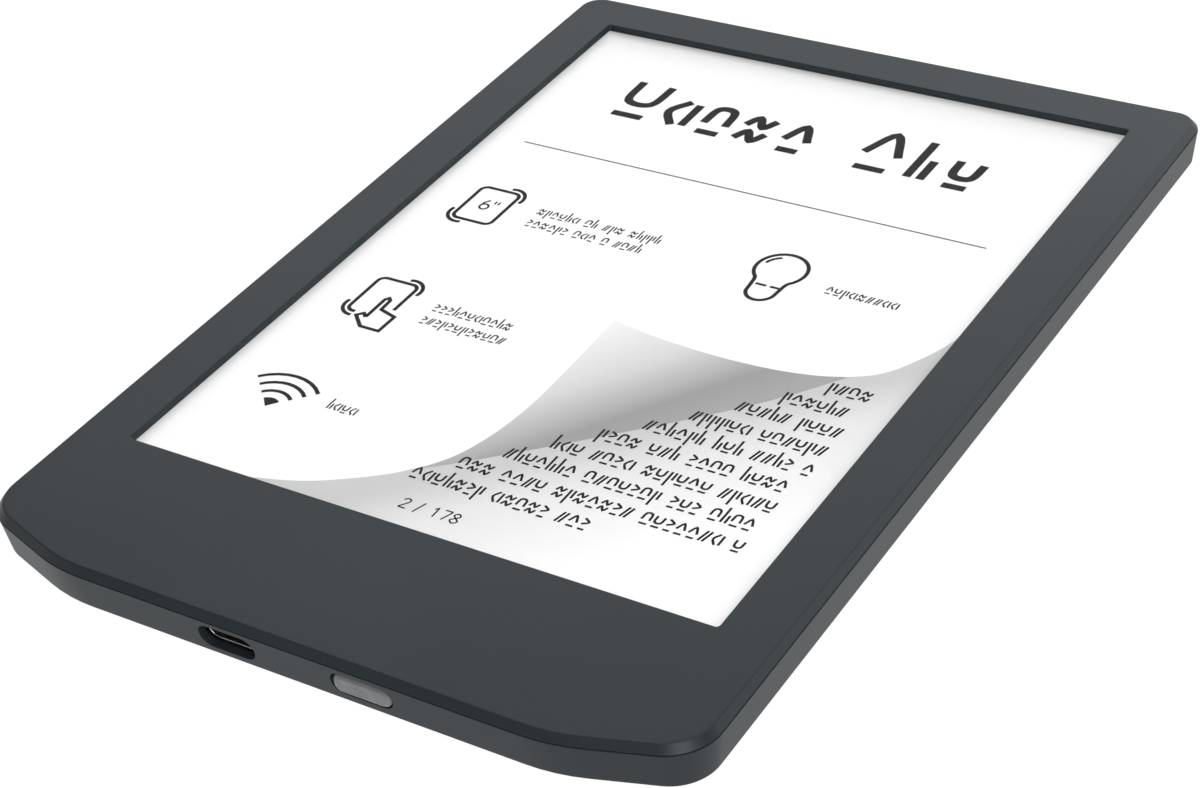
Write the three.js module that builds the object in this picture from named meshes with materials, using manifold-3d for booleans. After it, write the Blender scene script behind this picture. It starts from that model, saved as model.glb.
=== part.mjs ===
// A six-inch e-paper reader, modelled piece by piece.
//
// Millimetres. The reader lies on its back: +Z comes out of the screen, +Y points to the
// top of the page and +X to the reader's right. The origin is the middle of the back face,
// so the back is z = 0 and the front face is z = THICKNESS.

import * as THREE from 'three';
import { mergeVertices } from 'three/addons/utils/BufferGeometryUtils.js';
import Module from 'manifold-3d';

// ---------------------------------------------------------------------------------------
// Driving dimensions
// ---------------------------------------------------------------------------------------

// Overall body
const WIDTH = 108;
const LENGTH = 156;
const THICKNESS = 7.6;
const TOP_CORNER_RADIUS = 4;
const FLAT_BOTTOM_HALF = 37.1; // half length of the straight bottom edge, to the sharp corner
const SLANT_DEG = 17.7; // the bottom edge turns up by this angle towards each side
const SLANT_BEND_RADIUS = 26.9;
const SIDE_BEND_RADIUS = 7;

// Front bezel
const FACE_CHAMFER = 0.9; // inset of the chamfer round the front face
const CHAMFER_DROP = 1.1; // its height
const FACE_UNDERSIDE = 6.7; // z of the plate's inner side
const SKIRT_BOTTOM = 4.9;
const SKIRT_OUTER_INSET = 1.6;
const SKIRT_INNER_INSET = 2.3;
const OPENING_WIDTH = 90.1;
const OPENING_HEIGHT = 122.5;
const OPENING_CENTRE_Y = 8.3;
const OPENING_RADIUS = 0.5;
const OPENING_FLARE = 0.3; // the opening's wall leans out by this much at the face
const SKIRT_CUT_Y = -75; // the skirt is cut away in front of the port and the button
const PORT_CUT_HALF = 5.6;
const BUTTON_CUT_HALF = 6.2;

// Rear cover
const SEAM_GAP = 0.1; // between the bezel's rim and the cover's rim
const WALL_FOOT_Z = 1.15; // the side walls end here, and the back edge slopes in below
const WALL_DRAFT = 0.71; // how far the side walls lean in, from rim to foot
const BACK_SLOPE_INSET = 2.3; // the slope meets the flat back here
const WALL_FOOT_RADIUS = 0.35;
const BACK_SLOPE_RADIUS = 1.5;
const FLOOR_THICKNESS = 1.2;
const CAVITY_INSET = 1.35; // inner face of the wall, near the rim
const CAVITY_FLOOR_INSET = 2;
const CAVITY_KNEE_Z = 4.7; // the inner wall is upright above this height
const WALL_DEPTH = 2.2; // how deep the port and button holes are cut in the bottom wall

// Ribs on the cover's floor
const RIB_THICKNESS = 0.8;
const RIB_ROOT = 0.1; // sunk into the floor
const TRAY_RIB_TOP = 3;
const TRAY_GAP = 0.5; // between the battery and the ribs round it
const TRAY_TOP_HALF = 20;
const STIFFENER_TOP = 3.6;
const SIDE_RIB_X = 42;
const SIDE_RIB_Y = [-28, 50];
const CROSS_RIB_HALF = 46;
const CROSS_RIB_Y = [60, 67];

// Snap hooks between bezel and cover
const HOOK_LENGTH = 6;
const HOOK_INSET = 1;
const HOOK_ROOT = 0.2; // sunk into the skirt
const HOOK_CLEARANCE = 0.3; // between a hook and its pocket
const HOOK_Z = [5.05, 5.6];
const HOOK_SIDE_Y = [-50, -15, 20, 55];
const HOOK_TOP_X = 24;
const HOOK_BOTTOM_X = 27;

// Display stack, from the glass side down
const GASKET_Z = [6.48, 6.67];
const TOUCH_Z = [6.05, 6.45];
const GUIDE_Z = [5.6, 6];
const INK_LAYER_Z = [5.25, 5.55];
const DISPLAY_GLASS_Z = [4.75, 5.25];
const DISPLAY_GLASS_WIDTH = 101.8;
const DISPLAY_ENDS = [-66.8, 71.6];
const GASKET_WIDTH = 95.8;
const GASKET_ENDS = [-56.8, 71.2];
const GASKET_SETBACK = 0.65; // from the opening's edge, on every side
const TOUCH_WIDTH = 97.2;
const TOUCH_ENDS = [-57.6, 71.5];
const GUIDE_WIDTH = 96.6;
const GUIDE_ENDS = [-60.6, 71.2];
const INK_WIDTH = 94;
const INK_ENDS = [-58.5, 71];
const LIGHT_STRIP_Z = [5.58, 5.66];
const LIGHT_STRIP_Y = [-65, -60.9];
const LIGHT_STRIP_HALF = 42;
const LED_SIZE = [3, 0.8, 0.4];
const LED_PITCH = 18;
const LED_GAP = 0.1; // between a light and the light guide's edge
const LED_COUNT = 5;
const DRIVER_SIZE = [22, 1.4, 0.26];
const DRIVER_Y = -63.3;

// Mid frame, board and battery
const FRAME_Z = [3.9, 4.7];
const FRAME_INSET = 2.8;
const NOTCH_TOP = -68.2; // notches over the port and the switch end here
const NOTCH_HALF = 6.4;
const BOARD_Z = [2.95, 3.75];
const BOARD_HALF_WIDTH = 43;
const BOARD_Y = [-74.6, -36];
const BOARD_CORNER = [6, 2.1]; // cut off each lower corner
const CHIP_GAP = 0.03; // solder height under a chip
const BATTERY_WIDTH = 64;
const BATTERY_Y = [-24, 52];
const BATTERY_Z = [1.4, 3.65];
const BATTERY_CORNER = 2.5;
const BATTERY_EDGE = [0.7, 0.35]; // roll of the pouch's edge, across and in height
const ADHESIVE_HALF = 28;
const ADHESIVE_Y = [-18, 46];
const ADHESIVE_Z = [3.7, 3.84];

// Flat flex tails fold round the display's bottom edge through slots in frame and board
const FLEX_THICKNESS = 0.12;
const FLEX_BEND = 0.5;
const FLEX_FOLD_Y = -67.9;
const FLEX_UNDER_Z = 2.45;
const FLEX_END_Y = -63.6;
const FLEX_SLOT_Y = [-68.9, -67.2];
const FLEX_SLOT_MARGIN = 0.5;
const DISPLAY_FLEX = { x: 32, width: 20 };
const TOUCH_FLEX = { x: -34.5, width: 7 };
const LIGHT_FLEX = { x: -25, width: 4 };
const FLEX_CONNECTOR_Y = [-64.6, -61.2];
const FLEX_CONNECTOR_HEIGHT = 1.15;
const FLEX_CONNECTOR_SIDE = 0.9; // body beyond the flex, each side
const FLEX_LATCH_HEIGHT = 0.8;
const FLEX_LATCH_REACH = 0.6;
const FLEX_MOUTH_CLEARANCE = 0.2;

// Screws
const SCREW_SHANK_RADIUS = 0.7;
const SCREW_HEAD_HEIGHT = 0.56;
const SCREW_DRIVE = [0.55, 0.3]; // radius and depth of the recess in the head
const SCREW_POINT = [0.25, 0.2]; // taper at the tip
const SCREW_SEAT_GAP = 0.04;
const CHASSIS_HEAD_RADIUS = 1.5;
const CHASSIS_SCREW_TIP = 6.1; // z that the screws reach up to
const BOARD_HEAD_RADIUS = 1.4;
const BOARD_SCREW_TIP = 4.6;
const BOSS_RADIUS = 1.5;
const BOSS_BORE_RADIUS = 0.85;
const BOSS_BORE_END = 0.3; // the bore stops this far short of the plate
const BOSS_GAP = 0.05; // between a boss and the frame
const FRAME_HOLE_RADIUS = 0.9;
const MIDDLE_BOSS = [1.2, -70.5]; // between the port and the button
const CHASSIS_SCREWS = [
  [-46.5, 73.7], [0, 73.7], [46.5, 73.7],
  [-46.5, -69.3], MIDDLE_BOSS, [46.5, -69.3],
];
const BOARD_SCREWS = [[-41, -38], [41, -38], [-40.6, -71], [40.6, -71]];

// Charging port in the bottom wall
const PORT_X = -10.2;
const PORT_Z = 3.87;
const PORT_SLOT = [8.7, 3.6]; // the hole in the cover, width and height
const PORT_SHELL = [8.94, 3.26]; // the steel sleeve of a standard reversible port
const PORT_MOUTH = [8.34, 2.56];
const PORT_Y = [-76, -68.8];
const PORT_NOTCH_GAP = 0.45; // between the sleeve and the board round it
const TONGUE_WIDTH = 6.69;
const TONGUE_THICKNESS = 0.7;
const TONGUE_FRONT_Y = -75.4;
const TONGUE_BASE_Y = [-70.6, -69];
const TONGUE_BASE_CLEARANCE = 0.08;

// Power button and the switch behind it
const BUTTON_X = 10.25;
const BUTTON_Z = 3.95;
const BUTTON_CAP = [8.6, 2.95];
const BUTTON_FACE_Y = -77.9;
const BUTTON_CHAMFER = [0.5, 0.45]; // across the face, and along the travel
const BUTTON_SLOT_CLEARANCE = 0.25;
const BUTTON_FLANGE = [10.2, 3.4];
const BUTTON_FLANGE_Y = [-76, -75.5];
const STEM_Z = [4.2, 4.9];
const STEM_WIDTH = 2;
const STEM_END_Y = -74.55;
const STATUS_LED_X = 14.3;
const STATUS_LED_SIZE = [1.6, 0.8, 0.5];
const SWITCH_SIZE = [4.7, 1.9, 1.5];
const SWITCH_FRONT_Y = -73.6;
const SWITCH_CAVITY = [2.6, 1.5, 1.1];
const PLUNGER_SIZE = [2, 1.6, 0.6];
const PLUNGER_TIP_Y = -74.45;
const DOME_RADIUS = 3;
const DOME_THICKNESS = 0.08;
const DOME_HALF_ANGLE = 22;
const DOME_REAR_Y = -72.15;
const DOME_HEIGHT = 0.8;

// Battery plug, header and lead
const HEADER_X = 14;
const HEADER_HALF = 3.2;
const HEADER_WALL = 0.5;
const HEADER_Y = [-42.2, -37.8];
const HEADER_HEIGHT = 1.47;
const PLUG_HALF = 2.5;
const PLUG_Y = [-41, -36.5];
const PLUG_Z = [1.8, 2.54];
const PLUG_GAP = 0.06;
const WIRE_RADIUS = 0.36;
const WIRE_PITCH = 0.66;
const LEAD_END = [8, -28.15, 2.5];
const PROTECTION_HALF = 16;
const PROTECTION_Z = [2.1, 2.7];
const PROTECTION_CHIPS_X = [[-8, -4], [-1.5, 2.5]];
const PROTECTION_CHIP_Z = [1.5, 2.2];

// Curve resolution: segments in a quarter turn
const QUARTER = 6;
const FILLET_STEPS = 3; // segments in each fillet of the rear cover

// ---------------------------------------------------------------------------------------
// Finishes
// ---------------------------------------------------------------------------------------

function finish(color, roughness, metalness = 0) {
  return new THREE.MeshStandardMaterial({ color, roughness, metalness });
}

const FINISHES = {
  housing: finish(0x45494c, 0.55),
  buttonPlastic: finish(0x6c6c6e, 0.4),
  foam: finish(0x17181a, 0.95),
  film: finish(0xf2f2f0, 0.5),
  lightGuide: finish(0xe9eef0, 0.15),
  paper: finish(0xf6f6f3, 0.8),
  flex: finish(0xb5772a, 0.5),
  led: finish(0xf4eab0, 0.4),
  frame: finish(0x8d9093, 0.45, 0.6),
  steel: finish(0xb9bcc0, 0.3, 1),
  board: finish(0x1f5a3a, 0.5),
  chip: finish(0x1b1c1e, 0.6),
  can: finish(0xc2c4c6, 0.35, 1),
  ceramic: finish(0xe4e1d8, 0.6),
  connector: finish(0xd9d3c3, 0.6),
  darkPlastic: finish(0x202123, 0.6),
  pouch: finish(0xa9adb1, 0.35, 0.8),
  tape: finish(0xd8d2bc, 0.9),
  wire: finish(0x8c1f1f, 0.5),
  dome: finish(0xcfcabf, 0.3, 1),
};

// ---------------------------------------------------------------------------------------
// Outlines: rings of points made of arcs joined by straight lines
// ---------------------------------------------------------------------------------------

const radians = THREE.MathUtils.degToRad;

// A ring runs anticlockwise round its corners. A corner is an arc about (x, y). An inset
// ring keeps every arc's centre, so it is a true parallel curve.
function cornerRing(corners, inset = 0) {
  const ring = [];
  for (const { x, y, radius, from, to } of corners) {
    const steps = Math.max(2, Math.round((QUARTER * (to - from)) / 90));
    for (let step = 0; step <= steps; step += 1) {
      const angle = radians(from + ((to - from) * step) / steps);
      const reach = radius - inset;
      ring.push(new THREE.Vector2(x + reach * Math.cos(angle), y + reach * Math.sin(angle)));
    }
  }
  return ring;
}

function bodyCorners() {
  const slant = radians(SLANT_DEG);
  const halfWidth = WIDTH / 2;
  const halfLength = LENGTH / 2;
  const bendTangent = SLANT_BEND_RADIUS * Math.tan(slant / 2);
  const sideCornerY = -halfLength + (halfWidth - FLAT_BOTTOM_HALF) * Math.tan(slant);
  const sideTangent = SIDE_BEND_RADIUS * Math.tan((Math.PI / 2 - slant) / 2);
  const bend = { x: FLAT_BOTTOM_HALF - bendTangent, y: -halfLength + SLANT_BEND_RADIUS };
  const side = { x: halfWidth - SIDE_BEND_RADIUS, y: sideCornerY + sideTangent };
  const top = { x: halfWidth - TOP_CORNER_RADIUS, y: halfLength - TOP_CORNER_RADIUS };
  return [
    { ...bend, radius: SLANT_BEND_RADIUS, from: -90, to: -90 + SLANT_DEG },
    { ...side, radius: SIDE_BEND_RADIUS, from: -90 + SLANT_DEG, to: 0 },
    { ...top, radius: TOP_CORNER_RADIUS, from: 0, to: 90 },
    { x: -top.x, y: top.y, radius: TOP_CORNER_RADIUS, from: 90, to: 180 },
    { x: -side.x, y: side.y, radius: SIDE_BEND_RADIUS, from: 180, to: 270 - SLANT_DEG },
    { x: -bend.x, y: bend.y, radius: SLANT_BEND_RADIUS, from: 270 - SLANT_DEG, to: 270 },
  ];
}

const BODY = bodyCorners();
const bodyRing = (inset) => cornerRing(BODY, inset);

function rectangleRing(width, height, centreY, radius, inset = 0) {
  const x = width / 2 - radius;
  const low = centreY - height / 2 + radius;
  const high = centreY + height / 2 - radius;
  const corners = [
    { x, y: low, radius, from: -90, to: 0 },
    { x, y: high, radius, from: 0, to: 90 },
    { x: -x, y: high, radius, from: 90, to: 180 },
    { x: -x, y: low, radius, from: 180, to: 270 },
  ];
  return cornerRing(corners, inset);
}

function stadiumRing([width, height], inset = 0) {
  const radius = height / 2;
  const x = width / 2 - radius;
  return cornerRing([
    { x, y: 0, radius, from: -90, to: 90 },
    { x: -x, y: 0, radius, from: 90, to: 270 },
  ], inset);
}

// ---------------------------------------------------------------------------------------
// Solids
// ---------------------------------------------------------------------------------------

const wasm = await Module();
wasm.setup();

function toSolid(geometry) {
  const bare = geometry.clone();
  bare.deleteAttribute('normal');
  bare.deleteAttribute('uv');
  const merged = mergeVertices(bare, 1e-5);
  return new wasm.Manifold(new wasm.Mesh({
    numProp: 3,
    vertProperties: Float32Array.from(merged.attributes.position.array),
    triVerts: Uint32Array.from(merged.index.array),
  }));
}

function toGeometry(solid) {
  const mesh = solid.getMesh();
  const geometry = new THREE.BufferGeometry();
  geometry.setAttribute('position', new THREE.BufferAttribute(mesh.vertProperties, 3));
  geometry.setIndex(new THREE.BufferAttribute(mesh.triVerts, 1));
  const faceted = geometry.toNonIndexed();
  faceted.computeVertexNormals();
  return faceted;
}

// Joins the geometries in `joined` and takes every geometry in `cuts` away.
function carve(joined, cuts = []) {
  let solid = toSolid(joined[0]);
  for (const piece of joined.slice(1)) solid = solid.add(toSolid(piece));
  for (const tool of cuts) solid = solid.subtract(toSolid(tool));
  return toGeometry(solid);
}

// A closed skin through rings stacked along Z, each with the same number of points.
function loft(levels) {
  const count = levels[0].ring.length;
  const positions = [];
  const faces = [];
  for (const { ring, z } of levels) {
    for (const point of ring) positions.push(point.x, point.y, z);
  }
  for (let level = 0; level < levels.length - 1; level += 1) {
    for (let i = 0; i < count; i += 1) {
      const here = level * count + i;
      const next = level * count + ((i + 1) % count);
      faces.push(here, next, next + count, here, next + count, here + count);
    }
  }
  const top = (levels.length - 1) * count;
  for (const [a, b, c] of THREE.ShapeUtils.triangulateShape(levels[0].ring, [])) {
    faces.push(a, c, b, top + a, top + b, top + c);
  }
  const geometry = new THREE.BufferGeometry();
  geometry.setAttribute('position', new THREE.Float32BufferAttribute(positions, 3));
  geometry.setIndex(faces);
  geometry.computeVertexNormals();
  return geometry;
}

function slab(ring, [low, high], holes = []) {
  const shape = new THREE.Shape(ring);
  shape.holes = holes.map((hole) => new THREE.Path(hole));
  const geometry = new THREE.ExtrudeGeometry(shape, { depth: high - low, bevelEnabled: false });
  return geometry.translate(0, 0, low);
}

function block([x0, x1], [y0, y1], [z0, z1]) {
  const geometry = new THREE.BoxGeometry(x1 - x0, y1 - y0, z1 - z0);
  return geometry.translate((x0 + x1) / 2, (y0 + y1) / 2, (z0 + z1) / 2);
}

function post(x, y, radius, [low, high]) {
  const geometry = new THREE.CylinderGeometry(radius, radius, high - low, 4 * QUARTER);
  return geometry.rotateX(Math.PI / 2).translate(x, y, (low + high) / 2);
}

// Turns a shape drawn flat, with its height along Z, so that it runs along Y instead:
// what was drawn upwards stays upwards, and the drawn Z then counts backwards along Y.
function alongY(geometry, x, y, z) {
  return geometry.rotateX(Math.PI / 2).translate(x, y, z);
}

function tunnel(ring, x, z, [y0, y1], holes = []) {
  return alongY(slab(ring, [0, y1 - y0], holes), x, y1, z);
}

// Turns a profile drawn in the plane of Y and Z so that its thickness runs along X.
function alongX(geometry, x) {
  const turn = new THREE.Matrix4().makeBasis(
    new THREE.Vector3(0, 1, 0),
    new THREE.Vector3(0, 0, 1),
    new THREE.Vector3(1, 0, 0),
  );
  return geometry.applyMatrix4(turn).translate(x, 0, 0);
}

// ---------------------------------------------------------------------------------------
// Scene graph
// ---------------------------------------------------------------------------------------

const reader = new THREE.Group();

function place(group, name, geometry, material, position = [0, 0, 0]) {
  const mesh = new THREE.Mesh(geometry, material);
  mesh.name = name;
  mesh.position.set(...position);
  group.add(mesh);
  return mesh;
}

function subassembly() {
  const group = new THREE.Group();
  reader.add(group);
  return group;
}

// ---------------------------------------------------------------------------------------
// Housing: front bezel and rear cover, snapped together
// ---------------------------------------------------------------------------------------

const RIM_Z = THICKNESS - CHAMFER_DROP; // underside of the bezel's rim
const COVER_RIM_Z = RIM_Z - SEAM_GAP;

// A box on the side wall, between two insets, for every hook position.
function hookBlocks(length, outerInset, innerInset, heights) {
  const blocks = [];
  const half = length / 2;
  const sideX = WIDTH / 2;
  const endY = LENGTH / 2;
  for (const y of HOOK_SIDE_Y) {
    blocks.push(block([sideX - innerInset, sideX - outerInset], [y - half, y + half], heights));
    blocks.push(block([outerInset - sideX, innerInset - sideX], [y - half, y + half], heights));
  }
  for (const sign of [-1, 1]) {
    const topX = sign * HOOK_TOP_X;
    const bottomX = sign * HOOK_BOTTOM_X;
    blocks.push(block([topX - half, topX + half], [endY - innerInset, endY - outerInset], heights));
    blocks.push(block([bottomX - half, bottomX + half], [outerInset - endY, innerInset - endY], heights));
  }
  return blocks;
}

function openingRing(growth) {
  return rectangleRing(OPENING_WIDTH, OPENING_HEIGHT, OPENING_CENTRE_Y, OPENING_RADIUS, -growth);
}

function frontBezel() {
  const shell = loft([
    { ring: bodyRing(0), z: RIM_Z },
    { ring: bodyRing(FACE_CHAMFER), z: THICKNESS },
  ]);
  const skirtHole = bodyRing(SKIRT_INNER_INSET).reverse();
  const skirt = slab(bodyRing(SKIRT_OUTER_INSET), [SKIRT_BOTTOM, FACE_UNDERSIDE + SEAM_GAP], [skirtHole]);
  const hooks = hookBlocks(HOOK_LENGTH, HOOK_INSET, SKIRT_OUTER_INSET + HOOK_ROOT, HOOK_Z);
  const underside = slab(bodyRing(SKIRT_INNER_INSET), [SKIRT_BOTTOM, FACE_UNDERSIDE]);
  const opening = loft([
    { ring: openingRing(0), z: FACE_UNDERSIDE - 1 },
    { ring: openingRing(0), z: FACE_UNDERSIDE },
    { ring: openingRing(OPENING_FLARE), z: THICKNESS },
    { ring: openingRing(OPENING_FLARE), z: THICKNESS + 1 },
  ]);
  const skirtCut = (x, half) => block(
    [x - half, x + half],
    [-LENGTH / 2, SKIRT_CUT_Y],
    [SKIRT_BOTTOM - 1, RIM_Z],
  );
  const plate = carve([shell, skirt, ...hooks], [
    underside,
    opening,
    skirtCut(PORT_X, PORT_CUT_HALF),
    skirtCut(BUTTON_X, BUTTON_CUT_HALF),
  ]);
  const bossZ = [FRAME_Z[1] + BOSS_GAP, (FACE_UNDERSIDE + THICKNESS) / 2];
  const boreZ = [FRAME_Z[1], FACE_UNDERSIDE - BOSS_BORE_END];
  const bosses = CHASSIS_SCREWS.map(([x, y]) => post(x, y, BOSS_RADIUS, bossZ));
  const bores = CHASSIS_SCREWS.map(([x, y]) => post(x, y, BOSS_BORE_RADIUS, boreZ));
  return carve([plate, ...bosses], bores);
}

// The arc that rounds one corner of a profile of points (inset, z).
function filletArc(before, corner, after, radius) {
  const back = before.clone().sub(corner).normalize();
  const on = after.clone().sub(corner).normalize();
  const half = Math.acos(back.dot(on)) / 2;
  const toCentre = back.clone().add(on).setLength(radius / Math.sin(half));
  const centre = corner.clone().add(toCentre);
  const reach = radius / Math.tan(half);
  const first = corner.clone().addScaledVector(back, reach).sub(centre);
  const last = corner.clone().addScaledVector(on, reach).sub(centre);
  const sweep = Math.atan2(first.cross(last), first.dot(last));
  const points = [];
  for (let step = 0; step <= FILLET_STEPS; step += 1) {
    const turn = (sweep * step) / FILLET_STEPS;
    points.push(centre.clone().add(first.clone().rotateAround(new THREE.Vector2(), turn)));
  }
  return points;
}

function rearCover() {
  const flat = new THREE.Vector2(BACK_SLOPE_INSET + BACK_SLOPE_RADIUS, 0);
  const slopeEnd = new THREE.Vector2(BACK_SLOPE_INSET, 0);
  const foot = new THREE.Vector2(WALL_DRAFT, WALL_FOOT_Z);
  const rim = new THREE.Vector2(0, COVER_RIM_Z);
  const outside = [
    ...filletArc(flat, slopeEnd, foot, BACK_SLOPE_RADIUS),
    ...filletArc(slopeEnd, foot, rim, WALL_FOOT_RADIUS),
    rim,
  ];
  const levels = outside.map(({ x, y }) => ({ ring: bodyRing(x), z: y }));
  const cavity = loft([
    { ring: bodyRing(CAVITY_FLOOR_INSET), z: FLOOR_THICKNESS },
    { ring: bodyRing(CAVITY_INSET), z: CAVITY_KNEE_Z },
    { ring: bodyRing(CAVITY_INSET), z: COVER_RIM_Z + 1 },
  ]);
  const buttonSlot = BUTTON_CAP.map((size) => size + 2 * BUTTON_SLOT_CLEARANCE);
  const slotDepth = [-LENGTH / 2 - 1, -LENGTH / 2 + WALL_DEPTH];
  const pocketZ = [HOOK_Z[0] - HOOK_CLEARANCE, HOOK_Z[1] + HOOK_CLEARANCE];
  const pockets = hookBlocks(
    HOOK_LENGTH + 2 * HOOK_CLEARANCE,
    HOOK_INSET - HOOK_CLEARANCE,
    SKIRT_OUTER_INSET + HOOK_ROOT,
    pocketZ,
  );
  const shell = carve([loft(levels)], [
    cavity,
    tunnel(stadiumRing(PORT_SLOT), PORT_X, PORT_Z, slotDepth),
    tunnel(stadiumRing(buttonSlot), BUTTON_X, BUTTON_Z, slotDepth),
    ...pockets,
  ]);
  return carve([shell, ...coverRibs()]);
}

// Ribs on the cover's floor: a tray round the battery and stiffeners beside and above it.
function coverRibs() {
  const half = RIB_THICKNESS / 2;
  const trayZ = [FLOOR_THICKNESS - RIB_ROOT, TRAY_RIB_TOP];
  const stiffenerZ = [FLOOR_THICKNESS - RIB_ROOT, STIFFENER_TOP];
  const trayX = BATTERY_WIDTH / 2 + TRAY_GAP + half;
  const trayTop = BATTERY_Y[1] + TRAY_GAP + half;
  const trayY = [BATTERY_Y[0] + BATTERY_CORNER, BATTERY_Y[1] - BATTERY_CORNER];
  const ribs = [block([-TRAY_TOP_HALF, TRAY_TOP_HALF], [trayTop - half, trayTop + half], trayZ)];
  for (const side of [-1, 1]) {
    const tray = side * trayX;
    const stiffener = side * SIDE_RIB_X;
    ribs.push(block([tray - half, tray + half], trayY, trayZ));
    ribs.push(block([stiffener - half, stiffener + half], SIDE_RIB_Y, stiffenerZ));
  }
  for (const y of CROSS_RIB_Y) {
    ribs.push(block([-CROSS_RIB_HALF, CROSS_RIB_HALF], [y - half, y + half], stiffenerZ));
  }
  return ribs;
}

const housing = subassembly();
place(housing, 'front_bezel', frontBezel(), FINISHES.housing);
place(housing, 'rear_cover', rearCover(), FINISHES.housing);

// ---------------------------------------------------------------------------------------
// Display stack
// ---------------------------------------------------------------------------------------

const middleOf = ([low, high]) => (low + high) / 2;

// The outline of a sheet with slightly rounded corners, between two heights on the page.
function sheetRing(width, [bottom, top]) {
  return rectangleRing(width, top - bottom, (top + bottom) / 2, 1);
}

// The path of a flex tail: out past the display's edge, down, and back under the board.
// It is drawn in the plane of Y and Z and given its thickness on both sides of the path.
function flexTail({ x, width }, startY, startZ) {
  const half = FLEX_THICKNESS / 2;
  const outer = FLEX_BEND + half;
  const inner = FLEX_BEND - half;
  const foldY = FLEX_FOLD_Y + FLEX_BEND;
  const upper = startZ - FLEX_BEND;
  const lower = FLEX_UNDER_Z + FLEX_BEND;
  const profile = new THREE.Shape();
  profile.moveTo(startY, startZ - half);
  profile.lineTo(startY, startZ + half);
  profile.absarc(foldY, upper, outer, Math.PI / 2, Math.PI, false);
  profile.absarc(foldY, lower, outer, Math.PI, 1.5 * Math.PI, false);
  profile.lineTo(FLEX_END_Y, FLEX_UNDER_Z - half);
  profile.lineTo(FLEX_END_Y, FLEX_UNDER_Z + half);
  profile.absarc(foldY, lower, inner, 1.5 * Math.PI, Math.PI, true);
  profile.absarc(foldY, upper, inner, Math.PI, Math.PI / 2, true);
  profile.closePath();
  const settings = { depth: width, bevelEnabled: false, curveSegments: 4 };
  return alongX(new THREE.ExtrudeGeometry(profile, settings), x - width / 2);
}

const display = subassembly();

function displayGasket() {
  const hole = openingRing(GASKET_SETBACK).reverse();
  return slab(sheetRing(GASKET_WIDTH, GASKET_ENDS), GASKET_Z, [hole]);
}

function displayPanel() {
  const glass = slab(sheetRing(DISPLAY_GLASS_WIDTH, DISPLAY_ENDS), DISPLAY_GLASS_Z);
  const inkLayer = slab(sheetRing(INK_WIDTH, INK_ENDS), [middleOf(DISPLAY_GLASS_Z), INK_LAYER_Z[1]]);
  return carve([glass, inkLayer]);
}

place(display, 'display_gasket', displayGasket(), FINISHES.foam);
place(display, 'touch_panel', slab(sheetRing(TOUCH_WIDTH, TOUCH_ENDS), TOUCH_Z), FINISHES.film);
place(display, 'light_guide', slab(sheetRing(GUIDE_WIDTH, GUIDE_ENDS), GUIDE_Z), FINISHES.lightGuide);

place(display, 'display_panel', displayPanel(), FINISHES.paper);
place(
  display,
  'display_driver',
  new THREE.BoxGeometry(...DRIVER_SIZE),
  FINISHES.chip,
  [0, DRIVER_Y, DISPLAY_GLASS_Z[1] + CHIP_GAP + DRIVER_SIZE[2] / 2],
);

function lightStrip() {
  const strip = block([-LIGHT_STRIP_HALF, LIGHT_STRIP_HALF], LIGHT_STRIP_Y, LIGHT_STRIP_Z);
  const tail = flexTail(LIGHT_FLEX, LIGHT_STRIP_Y[0] + FLEX_BEND, middleOf(LIGHT_STRIP_Z));
  return carve([strip, tail]);
}

place(display, 'light_strip', lightStrip(), FINISHES.flex);
for (let index = 0; index < LED_COUNT; index += 1) {
  const x = (index - (LED_COUNT - 1) / 2) * LED_PITCH;
  const y = GUIDE_ENDS[0] - LED_GAP - LED_SIZE[1] / 2;
  const z = LIGHT_STRIP_Z[1] + 2 * CHIP_GAP + LED_SIZE[2] / 2;
  const light = new THREE.BoxGeometry(...LED_SIZE);
  place(display, `front_light_led_${index + 1}`, light, FINISHES.led, [x, y, z]);
}
const touchTail = flexTail(TOUCH_FLEX, TOUCH_ENDS[0] - LED_GAP, middleOf(TOUCH_Z));
const displayTail = flexTail(DISPLAY_FLEX, DISPLAY_ENDS[0] - LED_GAP, middleOf(DISPLAY_GLASS_Z));
place(display, 'touch_flex', touchTail, FINISHES.flex);
place(display, 'display_flex', displayTail, FINISHES.flex);

// ---------------------------------------------------------------------------------------
// Mid frame and screws
// ---------------------------------------------------------------------------------------

function flexSlots(heights) {
  return [DISPLAY_FLEX, TOUCH_FLEX, LIGHT_FLEX].map(({ x, width }) => {
    const reach = width / 2 + FLEX_SLOT_MARGIN;
    return block([x - reach, x + reach], FLEX_SLOT_Y, heights);
  });
}

function midFrame() {
  const through = [FRAME_Z[0] - 1, FRAME_Z[1] + 1];
  const notches = [PORT_X, BUTTON_X].map((x) => block(
    [x - NOTCH_HALF, x + NOTCH_HALF],
    [-LENGTH / 2, NOTCH_TOP],
    through,
  ));
  const screws = [...CHASSIS_SCREWS, ...BOARD_SCREWS];
  const holes = screws.map(([x, y]) => post(x, y, FRAME_HOLE_RADIUS, through));
  return carve([slab(bodyRing(FRAME_INSET), FRAME_Z)], [...notches, ...flexSlots(through), ...holes]);
}

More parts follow.
